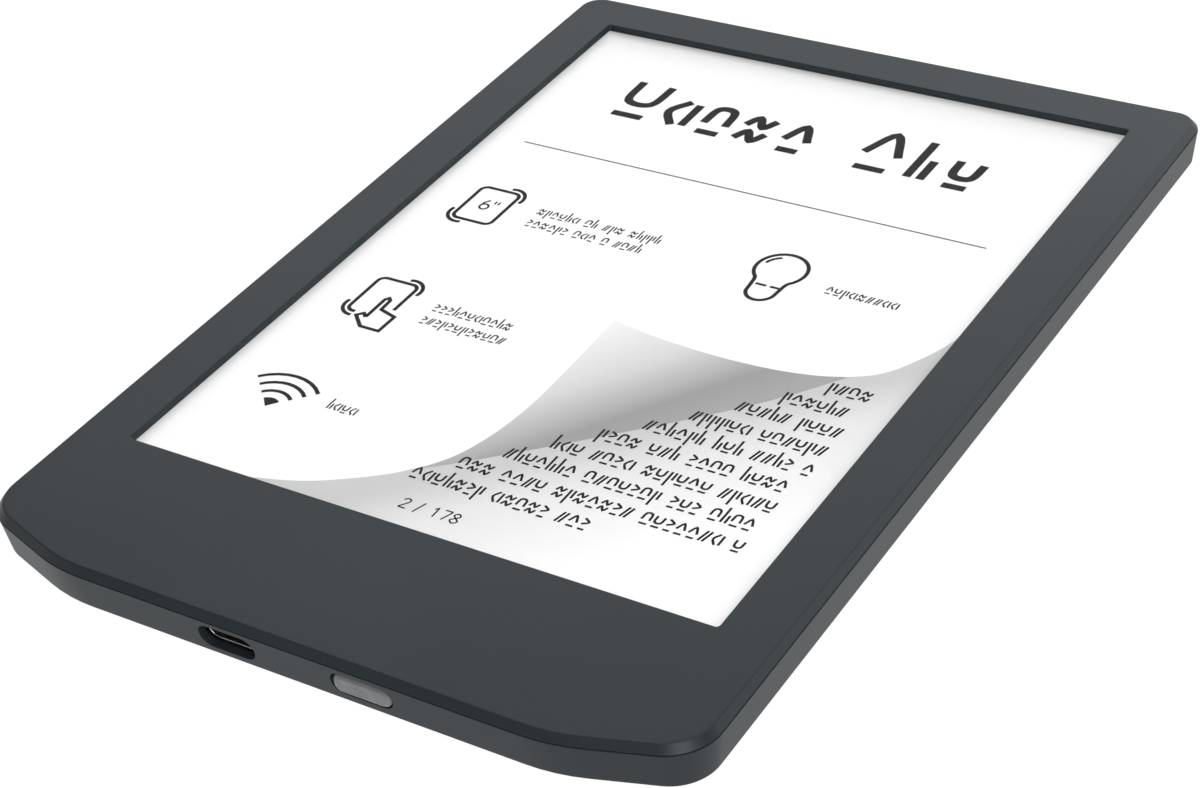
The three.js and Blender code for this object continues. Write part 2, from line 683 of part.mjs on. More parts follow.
// A flat-headed screw, head down, with a round drive recess in the head.
function screw(headRadius, shankLength) {
  const [drive, recess] = SCREW_DRIVE;
  const [taper, point] = SCREW_POINT;
  const tip = SCREW_HEAD_HEIGHT + shankLength;
  const profile = [
    [0, recess],
    [drive, recess],
    [drive, 0],
    [headRadius, 0],
    [headRadius, SCREW_HEAD_HEIGHT],
    [SCREW_SHANK_RADIUS, SCREW_HEAD_HEIGHT],
    [SCREW_SHANK_RADIUS, tip - point],
    [SCREW_SHANK_RADIUS - taper, tip],
    [0, tip],
  ];
  const points = profile.map(([radius, height]) => new THREE.Vector2(radius, height));
  return new THREE.LatheGeometry(points, 2 * QUARTER).rotateX(Math.PI / 2);
}

function placeScrews(group, name, places, headRadius, seatZ, tipZ) {
  const headZ = seatZ - SCREW_SEAT_GAP - SCREW_HEAD_HEIGHT;
  const shank = tipZ - seatZ + SCREW_SEAT_GAP;
  places.forEach(([x, y], index) => {
    place(group, `${name}_${index + 1}`, screw(headRadius, shank), FINISHES.steel, [x, y, headZ]);
  });
}

const chassis = subassembly();
place(chassis, 'mid_frame', midFrame(), FINISHES.frame);
placeScrews(chassis, 'chassis_screw', CHASSIS_SCREWS, CHASSIS_HEAD_RADIUS, FRAME_Z[0], CHASSIS_SCREW_TIP);

// ---------------------------------------------------------------------------------------
// Main board and what is soldered to it
// ---------------------------------------------------------------------------------------

function mainBoard() {
  const [bottom, top] = BOARD_Y;
  const right = BOARD_HALF_WIDTH;
  const [cutX, cutY] = BOARD_CORNER;
  const outline = [
    [cutX - right, bottom], [right - cutX, bottom], [right, bottom + cutY],
    [right, top], [-right, top], [-right, bottom + cutY],
  ];
  const ring = outline.map(([x, y]) => new THREE.Vector2(x, y));
  const through = [BOARD_Z[0] - 1, BOARD_Z[1] + 1];
  const portHalf = PORT_SHELL[0] / 2 + PORT_NOTCH_GAP;
  return carve([slab(ring, BOARD_Z)], [
    block([PORT_X - portHalf, PORT_X + portHalf], [-LENGTH / 2, PORT_Y[1] + PORT_NOTCH_GAP], through),
    post(...MIDDLE_BOSS, CHASSIS_HEAD_RADIUS + PORT_NOTCH_GAP, through),
    ...flexSlots(through),
    ...BOARD_SCREWS.map(([x, y]) => post(x, y, BOSS_BORE_RADIUS, through)),
  ]);
}

// A part under the board, seen from the back of the reader: [x, y] is its middle.
function placeUnderBoard(name, [x, y], [width, depth, height], material) {
  const z = BOARD_Z[0] - CHIP_GAP - height / 2;
  place(board, name, new THREE.BoxGeometry(width, depth, height), material, [x, y, z]);
}

// A low connector under the board that a flex tail slides into.
function flexConnector({ x, width }) {
  const top = BOARD_Z[0] - CHIP_GAP;
  const [front, rear] = FLEX_CONNECTOR_Y;
  const reach = width / 2 + FLEX_CONNECTOR_SIDE;
  const mouthReach = width / 2 + FLEX_MOUTH_CLEARANCE;
  const mouthHalf = FLEX_THICKNESS / 2 + FLEX_MOUTH_CLEARANCE;
  const body = block([x - reach, x + reach], [front, rear], [top - FLEX_CONNECTOR_HEIGHT, top]);
  const latch = block(
    [x - mouthReach, x + mouthReach],
    [middleOf(FLEX_CONNECTOR_Y), rear + FLEX_LATCH_REACH],
    [top - FLEX_LATCH_HEIGHT, top - CHIP_GAP],
  );
  const mouth = block(
    [x - mouthReach, x + mouthReach],
    [front - 1, FLEX_END_Y + FLEX_MOUTH_CLEARANCE],
    [FLEX_UNDER_Z - mouthHalf, FLEX_UNDER_Z + mouthHalf],
  );
  return carve([body, latch], [mouth]);
}

const board = subassembly();
place(board, 'main_board', mainBoard(), FINISHES.board);
placeUnderBoard('processor_chip', [-5.5, -51], [13, 13, 1], FINISHES.chip);
placeUnderBoard('memory_chip', [10.5, -51], [10, 14.5, 0.9], FINISHES.chip);
placeUnderBoard('storage_chip', [-21, -51], [11.5, 13, 0.9], FINISHES.chip);
placeUnderBoard('power_chip', [28, -46], [7, 7, 0.85], FINISHES.chip);
placeUnderBoard('display_power_chip', [36, -53.5], [6, 6, 0.85], FINISHES.chip);
placeUnderBoard('power_inductor_1', [21.5, -56], [4, 4, 1.4], FINISHES.chip);
placeUnderBoard('power_inductor_2', [28.5, -56], [4, 4, 1.4], FINISHES.chip);
placeUnderBoard('radio_module', [-33.6, -48.5], [12, 15, 1.5], FINISHES.can);
placeUnderBoard('radio_antenna', [-41.4, -60], [2, 6.5, 0.9], FINISHES.ceramic);
place(board, 'display_connector', flexConnector(DISPLAY_FLEX), FINISHES.connector);
place(board, 'touch_connector', flexConnector(TOUCH_FLEX), FINISHES.connector);
place(board, 'light_connector', flexConnector(LIGHT_FLEX), FINISHES.connector);
placeScrews(board, 'board_screw', BOARD_SCREWS, BOARD_HEAD_RADIUS, BOARD_Z[0], BOARD_SCREW_TIP);
place(
  board,
  'status_led',
  new THREE.BoxGeometry(...STATUS_LED_SIZE),
  FINISHES.led,
  [STATUS_LED_X, SWITCH_FRONT_Y - CHIP_GAP, BOARD_Z[1] + CHIP_GAP + STATUS_LED_SIZE[2] / 2],
);

// ---------------------------------------------------------------------------------------
// Charging port
// ---------------------------------------------------------------------------------------

function portTongue() {
  const base = tunnel(stadiumRing(PORT_MOUTH, TONGUE_BASE_CLEARANCE), PORT_X, PORT_Z, TONGUE_BASE_Y);
  const tongue = block(
    [PORT_X - TONGUE_WIDTH / 2, PORT_X + TONGUE_WIDTH / 2],
    [TONGUE_FRONT_Y, middleOf(TONGUE_BASE_Y)],
    [PORT_Z - TONGUE_THICKNESS / 2, PORT_Z + TONGUE_THICKNESS / 2],
  );
  return carve([base, tongue]);
}

const portMouth = stadiumRing(PORT_MOUTH).reverse();
const portSleeve = tunnel(stadiumRing(PORT_SHELL), PORT_X, PORT_Z, PORT_Y, [portMouth]);
place(board, 'port_sleeve', portSleeve, FINISHES.steel);
place(board, 'port_tongue', portTongue(), FINISHES.darkPlastic);

// ---------------------------------------------------------------------------------------
// Power button and switch
// ---------------------------------------------------------------------------------------

function powerButton() {
  const [chamfer, chamferDepth] = BUTTON_CHAMFER;
  const capRoot = middleOf(BUTTON_FLANGE_Y);
  const reach = capRoot - BUTTON_FACE_Y;
  const cap = loft([
    { ring: stadiumRing(BUTTON_CAP), z: 0 },
    { ring: stadiumRing(BUTTON_CAP), z: reach - chamferDepth },
    { ring: stadiumRing(BUTTON_CAP, chamfer), z: reach },
  ]);
  const [halfWidth, halfHeight] = BUTTON_FLANGE.map((size) => size / 2);
  const flange = block(
    [BUTTON_X - halfWidth, BUTTON_X + halfWidth],
    BUTTON_FLANGE_Y,
    [BUTTON_Z - halfHeight, BUTTON_Z + halfHeight],
  );
  const stem = block(
    [BUTTON_X - STEM_WIDTH / 2, BUTTON_X + STEM_WIDTH / 2],
    [capRoot, STEM_END_Y],
    STEM_Z,
  );
  return carve([alongY(cap, BUTTON_X, capRoot, BUTTON_Z), flange, stem]);
}

const SWITCH_Z = BOARD_Z[1] + 0.05 + SWITCH_SIZE[2] / 2;
const PLUNGER_Z = middleOf(STEM_Z);

function switchBody() {
  const [width, depth, height] = SWITCH_SIZE;
  const [cavityWidth, cavityDepth, cavityHeight] = SWITCH_CAVITY;
  return carve(
    [block(
      [BUTTON_X - width / 2, BUTTON_X + width / 2],
      [SWITCH_FRONT_Y, SWITCH_FRONT_Y + depth],
      [SWITCH_Z - height / 2, SWITCH_Z + height / 2],
    )],
    [block(
      [BUTTON_X - cavityWidth / 2, BUTTON_X + cavityWidth / 2],
      [SWITCH_FRONT_Y - 1, SWITCH_FRONT_Y + cavityDepth],
      [SWITCH_Z - cavityHeight / 2, SWITCH_Z + cavityHeight / 2],
    )],
  );
}

// The snap dome is a thin arched spring strip, bowed towards the plunger.
function switchDome() {
  const half = radians(DOME_HALF_ANGLE);
  const start = -Math.PI / 2 - half;
  const end = -Math.PI / 2 + half;
  const strip = new THREE.Shape();
  strip.absarc(0, 0, DOME_RADIUS, start, end, false);
  strip.absarc(0, 0, DOME_RADIUS - DOME_THICKNESS, end, start, true);
  strip.closePath();
  const settings = { depth: DOME_HEIGHT, bevelEnabled: false, curveSegments: QUARTER };
  const chordY = DOME_RADIUS * Math.cos(half);
  return new THREE.ExtrudeGeometry(strip, settings)
    .translate(BUTTON_X, DOME_REAR_Y + chordY - DOME_THICKNESS, SWITCH_Z - DOME_HEIGHT / 2);
}

place(reader, 'power_button', powerButton(), FINISHES.buttonPlastic);
place(
  reader,
  'switch_plunger',
  new THREE.BoxGeometry(...PLUNGER_SIZE),
  FINISHES.darkPlastic,
  [BUTTON_X, PLUNGER_TIP_Y + PLUNGER_SIZE[1] / 2, PLUNGER_Z],
);
place(board, 'switch_body', switchBody(), FINISHES.darkPlastic);
place(board, 'switch_dome', switchDome(), FINISHES.dome);

// ---------------------------------------------------------------------------------------
// Battery, its lead and its plug
// ---------------------------------------------------------------------------------------

function batteryCell() {
  const [low, high] = BATTERY_Z;
  const [bottom, top] = BATTERY_Y;
  const [roll, rise] = BATTERY_EDGE;
  const ring = (inset) => rectangleRing(
    BATTERY_WIDTH,
    top - bottom,
    (top + bottom) / 2,
    BATTERY_CORNER,
    inset,
  );
  return loft([
    { ring: ring(roll), z: low },
    { ring: ring(roll / 5), z: low + rise },
    { ring: ring(0), z: (low + high) / 2 },
    { ring: ring(roll / 5), z: high - rise },
    { ring: ring(roll), z: high },
  ]);
}

const LEAD_GAP = 0.15; // between the lead's ends and what they are soldered or crimped to

function protectionBoard() {
  const bottom = LEAD_END[1] + LEAD_GAP;
  const top = BATTERY_Y[0] - 2 * LEAD_GAP;
  const chipY = [bottom + 4 * LEAD_GAP, top - 4 * LEAD_GAP];
  const chips = PROTECTION_CHIPS_X.map((x) => block(x, chipY, PROTECTION_CHIP_Z));
  return carve([block([-PROTECTION_HALF, PROTECTION_HALF], [bottom, top], PROTECTION_Z), ...chips]);
}

// Three insulated wires side by side, moulded into one flat lead with a slack bend.
function batteryLead() {
  const start = new THREE.Vector3(HEADER_X, PLUG_Y[1] + LEAD_GAP, middleOf(PLUG_Z));
  const end = new THREE.Vector3(...LEAD_END);
  const run = new THREE.Vector3(0, 4 * WIRE_RADIUS, 0);
  const slack = new THREE.Vector3(0, 0, WIRE_RADIUS);
  const points = [
    start,
    start.clone().add(run),
    start.clone().lerp(end, 0.5).sub(slack),
    end.clone().sub(run),
    end,
  ];
  const section = new THREE.Shape();
  section.absarc(0, 0, WIRE_RADIUS, 0, 2 * Math.PI, false);
  const wires = [-1, 0, 1].map((lane) => {
    const shift = new THREE.Vector3(lane * WIRE_PITCH, 0, 0);
    const extrudePath = new THREE.CatmullRomCurve3(points.map((point) => point.clone().add(shift)));
    return new THREE.ExtrudeGeometry(section, { steps: 12, extrudePath, curveSegments: 5 });
  });
  return carve(wires);
}

// The header under the board is open towards the battery, where the plug slides in.
function batteryHeader() {
  const top = BOARD_Z[0] - CHIP_GAP;
  const cavityHalf = HEADER_HALF - HEADER_WALL;
  const bodyX = [HEADER_X - HEADER_HALF, HEADER_X + HEADER_HALF];
  const body = block(bodyX, HEADER_Y, [top - HEADER_HEIGHT, top]);
  const cavity = block(
    [HEADER_X - cavityHalf, HEADER_X + cavityHalf],
    [HEADER_Y[0] + HEADER_WALL, HEADER_Y[1] + 1],
    [PLUG_Z[0] - PLUG_GAP, PLUG_Z[1] + PLUG_GAP],
  );
  return carve([body], [cavity]);
}

const battery = subassembly();
const plug = block([HEADER_X - PLUG_HALF, HEADER_X + PLUG_HALF], PLUG_Y, PLUG_Z);
const adhesive = block([-ADHESIVE_HALF, ADHESIVE_HALF], ADHESIVE_Y, ADHESIVE_Z);
place(battery, 'battery_cell', batteryCell(), FINISHES.pouch);
place(battery, 'battery_protection_board', protectionBoard(), FINISHES.board);
place(battery, 'battery_cable', batteryLead(), FINISHES.wire);
place(battery, 'battery_connector', plug, FINISHES.connector);
place(battery, 'battery_adhesive', adhesive, FINISHES.tape);
place(board, 'battery_header', batteryHeader(), FINISHES.connector);

export default reader;
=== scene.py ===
"""Looks of a six-inch e-paper reader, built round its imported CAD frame.

Shapes are written in millimetres, in the CAD's own frame, and turned into metres as each
mesh is made. The reader lies on its back: +Z comes out of the screen, +Y points to the top
of the page, and the charging port and the power button are in the lower edge, at -Y.
"""

import math
import random

import bmesh
import bpy
from mathutils import Matrix, Vector


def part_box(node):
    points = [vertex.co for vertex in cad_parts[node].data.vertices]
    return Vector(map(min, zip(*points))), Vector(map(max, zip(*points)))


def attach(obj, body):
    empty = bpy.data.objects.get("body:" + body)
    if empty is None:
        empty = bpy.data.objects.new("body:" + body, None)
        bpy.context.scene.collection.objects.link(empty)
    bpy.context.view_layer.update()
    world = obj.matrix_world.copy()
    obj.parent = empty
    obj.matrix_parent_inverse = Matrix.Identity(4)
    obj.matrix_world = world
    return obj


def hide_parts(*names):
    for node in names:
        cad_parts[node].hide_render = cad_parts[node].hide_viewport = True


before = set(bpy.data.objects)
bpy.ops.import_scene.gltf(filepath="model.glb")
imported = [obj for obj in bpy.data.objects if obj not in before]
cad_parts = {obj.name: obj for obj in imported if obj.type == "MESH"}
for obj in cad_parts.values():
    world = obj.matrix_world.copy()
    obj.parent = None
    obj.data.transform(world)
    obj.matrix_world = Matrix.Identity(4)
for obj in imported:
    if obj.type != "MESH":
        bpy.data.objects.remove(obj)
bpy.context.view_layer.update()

MM = 0.001

# ---------------------------------------------------------------------------------------
# Dimensions shared with the CAD, in millimetres
# ---------------------------------------------------------------------------------------


def cad_span(node):
    """The lowest and highest corner of a CAD node, in millimetres."""
    low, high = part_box(node)
    return low / MM, high / MM


BEZEL_LOW, BEZEL_HIGH = cad_span("front_bezel")
HALF_WIDTH = BEZEL_HIGH.x
HALF_LENGTH = BEZEL_HIGH.y
THICKNESS = BEZEL_HIGH.z
COVER_RIM_Z = cad_span("rear_cover")[1].z
SKIRT_BOTTOM = BEZEL_LOW.z

TOP_CORNER_RADIUS = 4
FLAT_BOTTOM_HALF = 37.1
SLANT_DEG = 17.7
SLANT_BEND_RADIUS = 26.9
SIDE_BEND_RADIUS = 7

FACE_CHAMFER = 0.9
CHAMFER_DROP = 1.1
FACE_UNDERSIDE = 6.7
SKIRT_OUTER_INSET = 1.6
SKIRT_INNER_INSET = 2.3
OPENING_WIDTH = 90.1
OPENING_HEIGHT = 122.5
OPENING_CENTRE_Y = 8.3
OPENING_RADIUS = 0.25
OPENING_FLARE = 0.3

WALL_FOOT_Z = 1.15
WALL_DRAFT = 0.71
WALL_FOOT_RADIUS = 0.35
BACK_SLOPE_INSET = 2.3
BACK_SLOPE_RADIUS = 1.5
FLOOR_THICKNESS = 1.2
CAVITY_INSET = 1.35
CAVITY_FLOOR_INSET = 2
CAVITY_KNEE_Z = 4.7
WALL_DEPTH = 2.2

PORT_X = -10.2
PORT_Z = 3.87
PORT_SLOT = (8.7, 3.6)
SLEEVE_SIZE = (8.94, 3.26)
SLEEVE_MOUTH = (8.34, 2.56)

TONGUE_SIZE = (6.69, 0.7)

BUTTON_X = 10.25
BUTTON_Z = 3.95
BUTTON_CAP = (8.6, 2.95)
BUTTON_CHAMFER = (0.5, 0.45)
BUTTON_SLOT_CLEARANCE = 0.25
BUTTON_FLANGE = (10.2, 3.4)
BUTTON_FLANGE_Y = (-76, -75.5)
STEM_WIDTH = 2
STEM_Z = (4.2, 4.9)

# ---------------------------------------------------------------------------------------
# Outlines: rings of points made of arcs joined by straight lines
# ---------------------------------------------------------------------------------------

ARC_STEP_DEG = 5
FILLET_STEP_DEG = 18


def corner_ring(corners, inset=0):
    """Runs anticlockwise round arcs about (x, y). Each arc keeps its centre as it is inset."""
    ring = []
    for x, y, radius, start, end in corners:
        steps = max(2, round(abs(end - start) / ARC_STEP_DEG))
        for step in range(steps + 1):
            angle = math.radians(start + (end - start) * step / steps)
            reach = radius - inset
            ring.append((x + reach * math.cos(angle), y + reach * math.sin(angle)))
    return ring


def body_corners():
    """The reader's outline, with its slanted lower corners, as arcs for corner_ring."""
    slant = math.radians(SLANT_DEG)
    bend_x = FLAT_BOTTOM_HALF - SLANT_BEND_RADIUS * math.tan(slant / 2)
    bend_y = SLANT_BEND_RADIUS - HALF_LENGTH
    side_x = HALF_WIDTH - SIDE_BEND_RADIUS
    side_corner_y = (HALF_WIDTH - FLAT_BOTTOM_HALF) * math.tan(slant) - HALF_LENGTH
    side_y = side_corner_y + SIDE_BEND_RADIUS * math.tan((math.pi / 2 - slant) / 2)
    top_x = HALF_WIDTH - TOP_CORNER_RADIUS
    top_y = HALF_LENGTH - TOP_CORNER_RADIUS
    return [
        (bend_x, bend_y, SLANT_BEND_RADIUS, -90, SLANT_DEG - 90),
        (side_x, side_y, SIDE_BEND_RADIUS, SLANT_DEG - 90, 0),
        (top_x, top_y, TOP_CORNER_RADIUS, 0, 90),
        (-top_x, top_y, TOP_CORNER_RADIUS, 90, 180),
        (-side_x, side_y, SIDE_BEND_RADIUS, 180, 270 - SLANT_DEG),
        (-bend_x, bend_y, SLANT_BEND_RADIUS, 270 - SLANT_DEG, 270),
    ]


BODY = body_corners()


def body_ring(inset):
    return corner_ring(BODY, inset)


def rectangle_ring(width, height, centre, radius, growth=0):
    x = width / 2 - radius
    y = height / 2 - radius
    cx, cy = centre
    corners = [
        (cx + x, cy - y, radius, -90, 0),
        (cx + x, cy + y, radius, 0, 90),
        (cx - x, cy + y, radius, 90, 180),
        (cx - x, cy - y, radius, 180, 270),
    ]
    return corner_ring(corners, -growth)


def opening_ring(growth):
    centre = (0, OPENING_CENTRE_Y)
    return rectangle_ring(OPENING_WIDTH, OPENING_HEIGHT, centre, OPENING_RADIUS, growth)


def stadium_ring(size, inset=0):
    radius = size[1] / 2
    x = size[0] / 2 - radius
    return corner_ring([(x, 0, radius, -90, 90), (-x, 0, radius, 90, 270)], inset)


def rounded_profile(corners):
    """A polyline of (across, height, fillet radius) with its fillets drawn as arcs."""
    points = [Vector(corner[:2]) for corner in corners]
    out = [points[0]]
    for before, here, after, corner in zip(points, points[1:], points[2:], corners[1:]):
        radius = corner[2]
        if radius == 0:
            out.append(here)
            continue
        back = (before - here).normalized()
        on = (after - here).normalized()
        half_angle = back.angle(on) / 2
        centre = here + (back + on).normalized() * radius / math.sin(half_angle)
        first = here + back * radius / math.tan(half_angle) - centre
        last = here + on * radius / math.tan(half_angle) - centre
        steps = max(2, round(math.degrees(first.angle(last)) / FILLET_STEP_DEG))
        for step in range(steps + 1):
            share = step / steps
            out.append(centre + first.slerp(last, share).normalized() * radius)
    out.append(points[-1])
    return [tuple(point) for point in out]


# ---------------------------------------------------------------------------------------
# Meshes
# ---------------------------------------------------------------------------------------


class Skin:
    """A mesh made of rings of points that are joined one to the next."""

    def __init__(self, place=lambda x, y, z: (x, y, z)):
        self.mesh = bmesh.new()
        self.place = place

    def ring(self, points, z):
        return [self.mesh.verts.new(Vector(self.place(x, y, z)) * MM) for x, y in points]

    def join(self, lower, upper):
        count = len(lower)
        for i in range(count):
            j = (i + 1) % count
            self.mesh.faces.new((lower[i], lower[j], upper[j], upper[i]))

    def stack(self, levels):
        """Joins rings, each a pair of points and height, and returns the first and last."""
        rings = [self.ring(points, z) for points, z in levels]
        for lower, upper in zip(rings, rings[1:]):
            self.join(lower, upper)
        return rings[0], rings[-1]

    def fill(self, *rings):
        """Fills the flat area inside one convex ring, or between two level ones."""
        if len(rings) == 1:
            self.mesh.faces.new(rings[0])
            return
        edges = []
        for ring in rings:
            for i, vert in enumerate(ring):
                edges.append(self.mesh.edges.get((vert, ring[(i + 1) % len(ring)])))
        bmesh.ops.triangle_fill(self.mesh, edges=edges, use_beauty=True)

    def finish(self, name):
        bmesh.ops.recalc_face_normals(self.mesh, faces=self.mesh.faces)
        data = bpy.data.meshes.new(name)
        self.mesh.to_mesh(data)
        self.mesh.free()
        piece = bpy.data.objects.new(name, data)
        bpy.context.scene.collection.objects.link(piece)
        return piece


def box_mesh(name, low, high):
    skin = Skin()
    ring = [(low[0], low[1]), (high[0], low[1]), (high[0], high[1]), (low[0], high[1])]
    first, last = skin.stack([(ring, low[2]), (ring, high[2])])
    skin.fill(first)
    skin.fill(last)
    return skin.finish(name)


def cut(piece, tools):
    """Takes the tools away from the piece for good, and removes them."""
    for tool in tools:
        step = piece.modifiers.new("cut", "BOOLEAN")
        step.operation = "DIFFERENCE"
        step.solver = "EXACT"
        step.object = tool
        bpy.context.view_layer.update()
        depsgraph = bpy.context.evaluated_depsgraph_get()
        result = bpy.data.meshes.new_from_object(piece.evaluated_get(depsgraph))
        piece.modifiers.remove(step)
        piece.data = result
        bpy.data.objects.remove(tool)


def smooth(piece, sharp_deg=40):
    """Shades the fillets smoothly and keeps the flat faces flat."""
    piece.data.shade_smooth()
    piece.data.set_sharp_from_angle(angle=math.radians(sharp_deg))
    weighted = piece.modifiers.new("flat faces", "WEIGHTED_NORMAL")
    weighted.keep_sharp = True
    weighted.weight = 100


def adopt(piece, body, node, material):
    """Puts a piece on its body in place of a CAD node, with its finish."""
    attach(piece, body)
    if node is not None:
        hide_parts(node)
    piece.data.materials.clear()
    piece.data.materials.append(material)


# ---------------------------------------------------------------------------------------
# Materials
# ---------------------------------------------------------------------------------------


class Finish:
    """A Principled material with helpers for its procedural detail."""

    def __init__(self, name, roughness=0.5, metallic=0.0, specular=0.5, ior=1.46):
        self.material = bpy.data.materials.new(name)
        self.material.use_nodes = True
        self.nodes = self.material.node_tree.nodes
        self.links = self.material.node_tree.links
        self.shader = self.nodes["Principled BSDF"]
        self.shader.inputs["Metallic"].default_value = metallic
        self.shader.inputs["Roughness"].default_value = roughness
        self.shader.inputs["Specular IOR Level"].default_value = specular
        self.shader.inputs["IOR"].default_value = ior
        self.place = self.nodes.new("ShaderNodeTexCoord").outputs["Object"]

    def noise(self, grains_per_mm, detail=3.0, roughness=0.5, stretch=None):
        source = self.place
        if stretch is not None:
            mapping = self.nodes.new("ShaderNodeMapping")
            mapping.inputs["Scale"].default_value = stretch
            self.links.new(source, mapping.inputs["Vector"])
            source = mapping.outputs["Vector"]
        noise = self.nodes.new("ShaderNodeTexNoise")
        noise.inputs["Scale"].default_value = grains_per_mm / MM
        noise.inputs["Detail"].default_value = detail
        noise.inputs["Roughness"].default_value = roughness
        self.links.new(source, noise.inputs["Vector"])
        return noise.outputs["Fac"]

    def ramp(self, factor, stops):
        ramp = self.nodes.new("ShaderNodeValToRGB")
        elements = ramp.color_ramp.elements
        for index, (position, value) in enumerate(stops):
            element = elements[index] if index < 2 else elements.new(position)
            element.position = position
            colour = value if isinstance(value, tuple) else (value, value, value)
            element.color = (*colour, 1)
        self.links.new(factor, ramp.inputs["Fac"])
        return ramp.outputs["Color"]

    def colour(self, factor, dark, light, low=0.3, high=0.7):
        self.links.new(self.ramp(factor, [(low, dark), (high, light)]), self.shader.inputs["Base Color"])

    def rough(self, factor, smoothest, roughest, low=0.3, high=0.7):
        stops = [(low, smoothest), (high, roughest)]
        self.links.new(self.ramp(factor, stops), self.shader.inputs["Roughness"])

    def bump(self, height, depth_mm, strength=1.0):
        bump = self.nodes.new("ShaderNodeBump")
        bump.inputs["Distance"].default_value = depth_mm * MM
        bump.inputs["Strength"].default_value = strength
        self.links.new(height, bump.inputs["Height"])
        self.links.new(bump.outputs["Normal"], self.shader.inputs["Normal"])


# The housing's sheen is a little cooler than the light
SHEEN_TINT = (0.84, 0.95, 1.0, 1)


def moulded_plastic(name, dark, light, roughness=(0.38, 0.46), grain_mm=0.0025, specular=0.24):
    """Fine-grained moulded plastic: slow colour drift, cool satin sheen and a fine grain."""
    finish = Finish(name, specular=specular)
    finish.shader.inputs["Specular Tint"].default_value = SHEEN_TINT
    finish.colour(finish.noise(0.05, detail=4), dark, light)
    grain = finish.noise(9, detail=4, roughness=0.6)
    finish.rough(grain, *roughness)
    finish.bump(grain, grain_mm)
    return finish.material


def housing_plastic():
    return moulded_plastic(
        "housing plastic",
        (0.0142, 0.0180, 0.0210),
        (0.0165, 0.0205, 0.0236),
    )


def button_plastic():
    finish = Finish("button plastic", specular=0.5)
    finish.colour(finish.noise(0.4), (0.112, 0.117, 0.121), (0.150, 0.154, 0.158))
    finish.rough(finish.noise(6, detail=2), 0.28, 0.40)
    finish.bump(finish.noise(14, detail=2), 0.002)
    finish.shader.inputs["Subsurface Weight"].default_value = 0.35
    finish.shader.inputs["Subsurface Radius"].default_value = (0.0006, 0.0006, 0.0006)
    return finish.material


def clear_film(name, alpha, roughness):
    finish = Finish(name)
    finish.shader.inputs["Alpha"].default_value = alpha
    finish.colour(finish.noise(0.1), (0.55, 0.56, 0.56), (0.62, 0.62, 0.61))
    finish.rough(finish.noise(12, detail=2), *roughness)
    return finish.material


# The front light shines on the page as well as the room, so the page glows with its own tone.
PAGE_WHITE = 0.5
PAGE_GLOW = 0.85


def lit_paper(finish, tone):
    """Paper of the given tone, evenly lit by the front light."""
    finish.links.new(tone, finish.shader.inputs["Base Color"])
    finish.links.new(tone, finish.shader.inputs["Emission Color"])
    finish.shader.inputs["Emission Strength"].default_value = PAGE_GLOW
    finish.rough(finish.noise(9), 0.6, 0.75)
    return finish.material


def page_white():
    finish = Finish("page white", specular=0.15)
    grain = finish.noise(4, detail=5)
    tone = finish.ramp(grain, [(0.3, PAGE_WHITE * 0.99), (0.7, PAGE_WHITE * 1.01)])
    return lit_paper(finish, tone)


def ink(name, dark, light):
    finish = Finish(name, specular=0.1)
    finish.colour(finish.noise(8), dark, light)
    finish.rough(finish.noise(9), 0.6, 0.75)
    return finish.material


def steel(name, dark, light, roughness, stretch=(1, 1, 1)):
    finish = Finish(name, metallic=1.0)
    brushed = finish.noise(3, detail=4, stretch=stretch)
    finish.colour(brushed, dark, light)
    finish.rough(brushed, *roughness)
    finish.bump(brushed, 0.002)
    return finish.material


HOUSING = housing_plastic()
BUTTON = button_plastic()
PAGE = page_white()
INK = ink("page ink", (0.003, 0.003, 0.003), (0.006, 0.006, 0.006))
SOFT_INK = ink("page soft ink", (0.025, 0.025, 0.025), (0.04, 0.04, 0.04))
PORT_STEEL = steel("port steel", (0.42, 0.42, 0.43), (0.56, 0.56, 0.57), (0.22, 0.34), (1, 8, 8))
PORT_BLACK = moulded_plastic("port plastic", (0.012, 0.012, 0.013), (0.02, 0.02, 0.021))
CONTACT_GOLD = steel("contact gold", (0.60, 0.42, 0.16), (0.72, 0.52, 0.24), (0.2, 0.3), (8, 1, 8))

# ---------------------------------------------------------------------------------------
# Housing
# ---------------------------------------------------------------------------------------

RIM_Z = THICKNESS - CHAMFER_DROP
FACE_EDGE_FILLET = 0.22
RIM_FILLET = 0.07
OPENING_FILLET = 0.06
# Width of the flat strip beside each rounded edge, before the wide flat face is filled
FACE_MARGIN = 0.6
BACK_MARGIN = 1.4

# Gaps in the bezel's skirt behind the port and the button: half width, depth, room at the top
PORT_GAP_HALF = 5.6
BUTTON_GAP_HALF = 6.2
GAP_DEPTH = 0.7
GAP_TOP_ROOM = 0.02

# The rim of each hole in the wall: how far it flares, and where the flare starts
SLOT_FLARE = 0.08
FLARE_DEPTH = 0.25


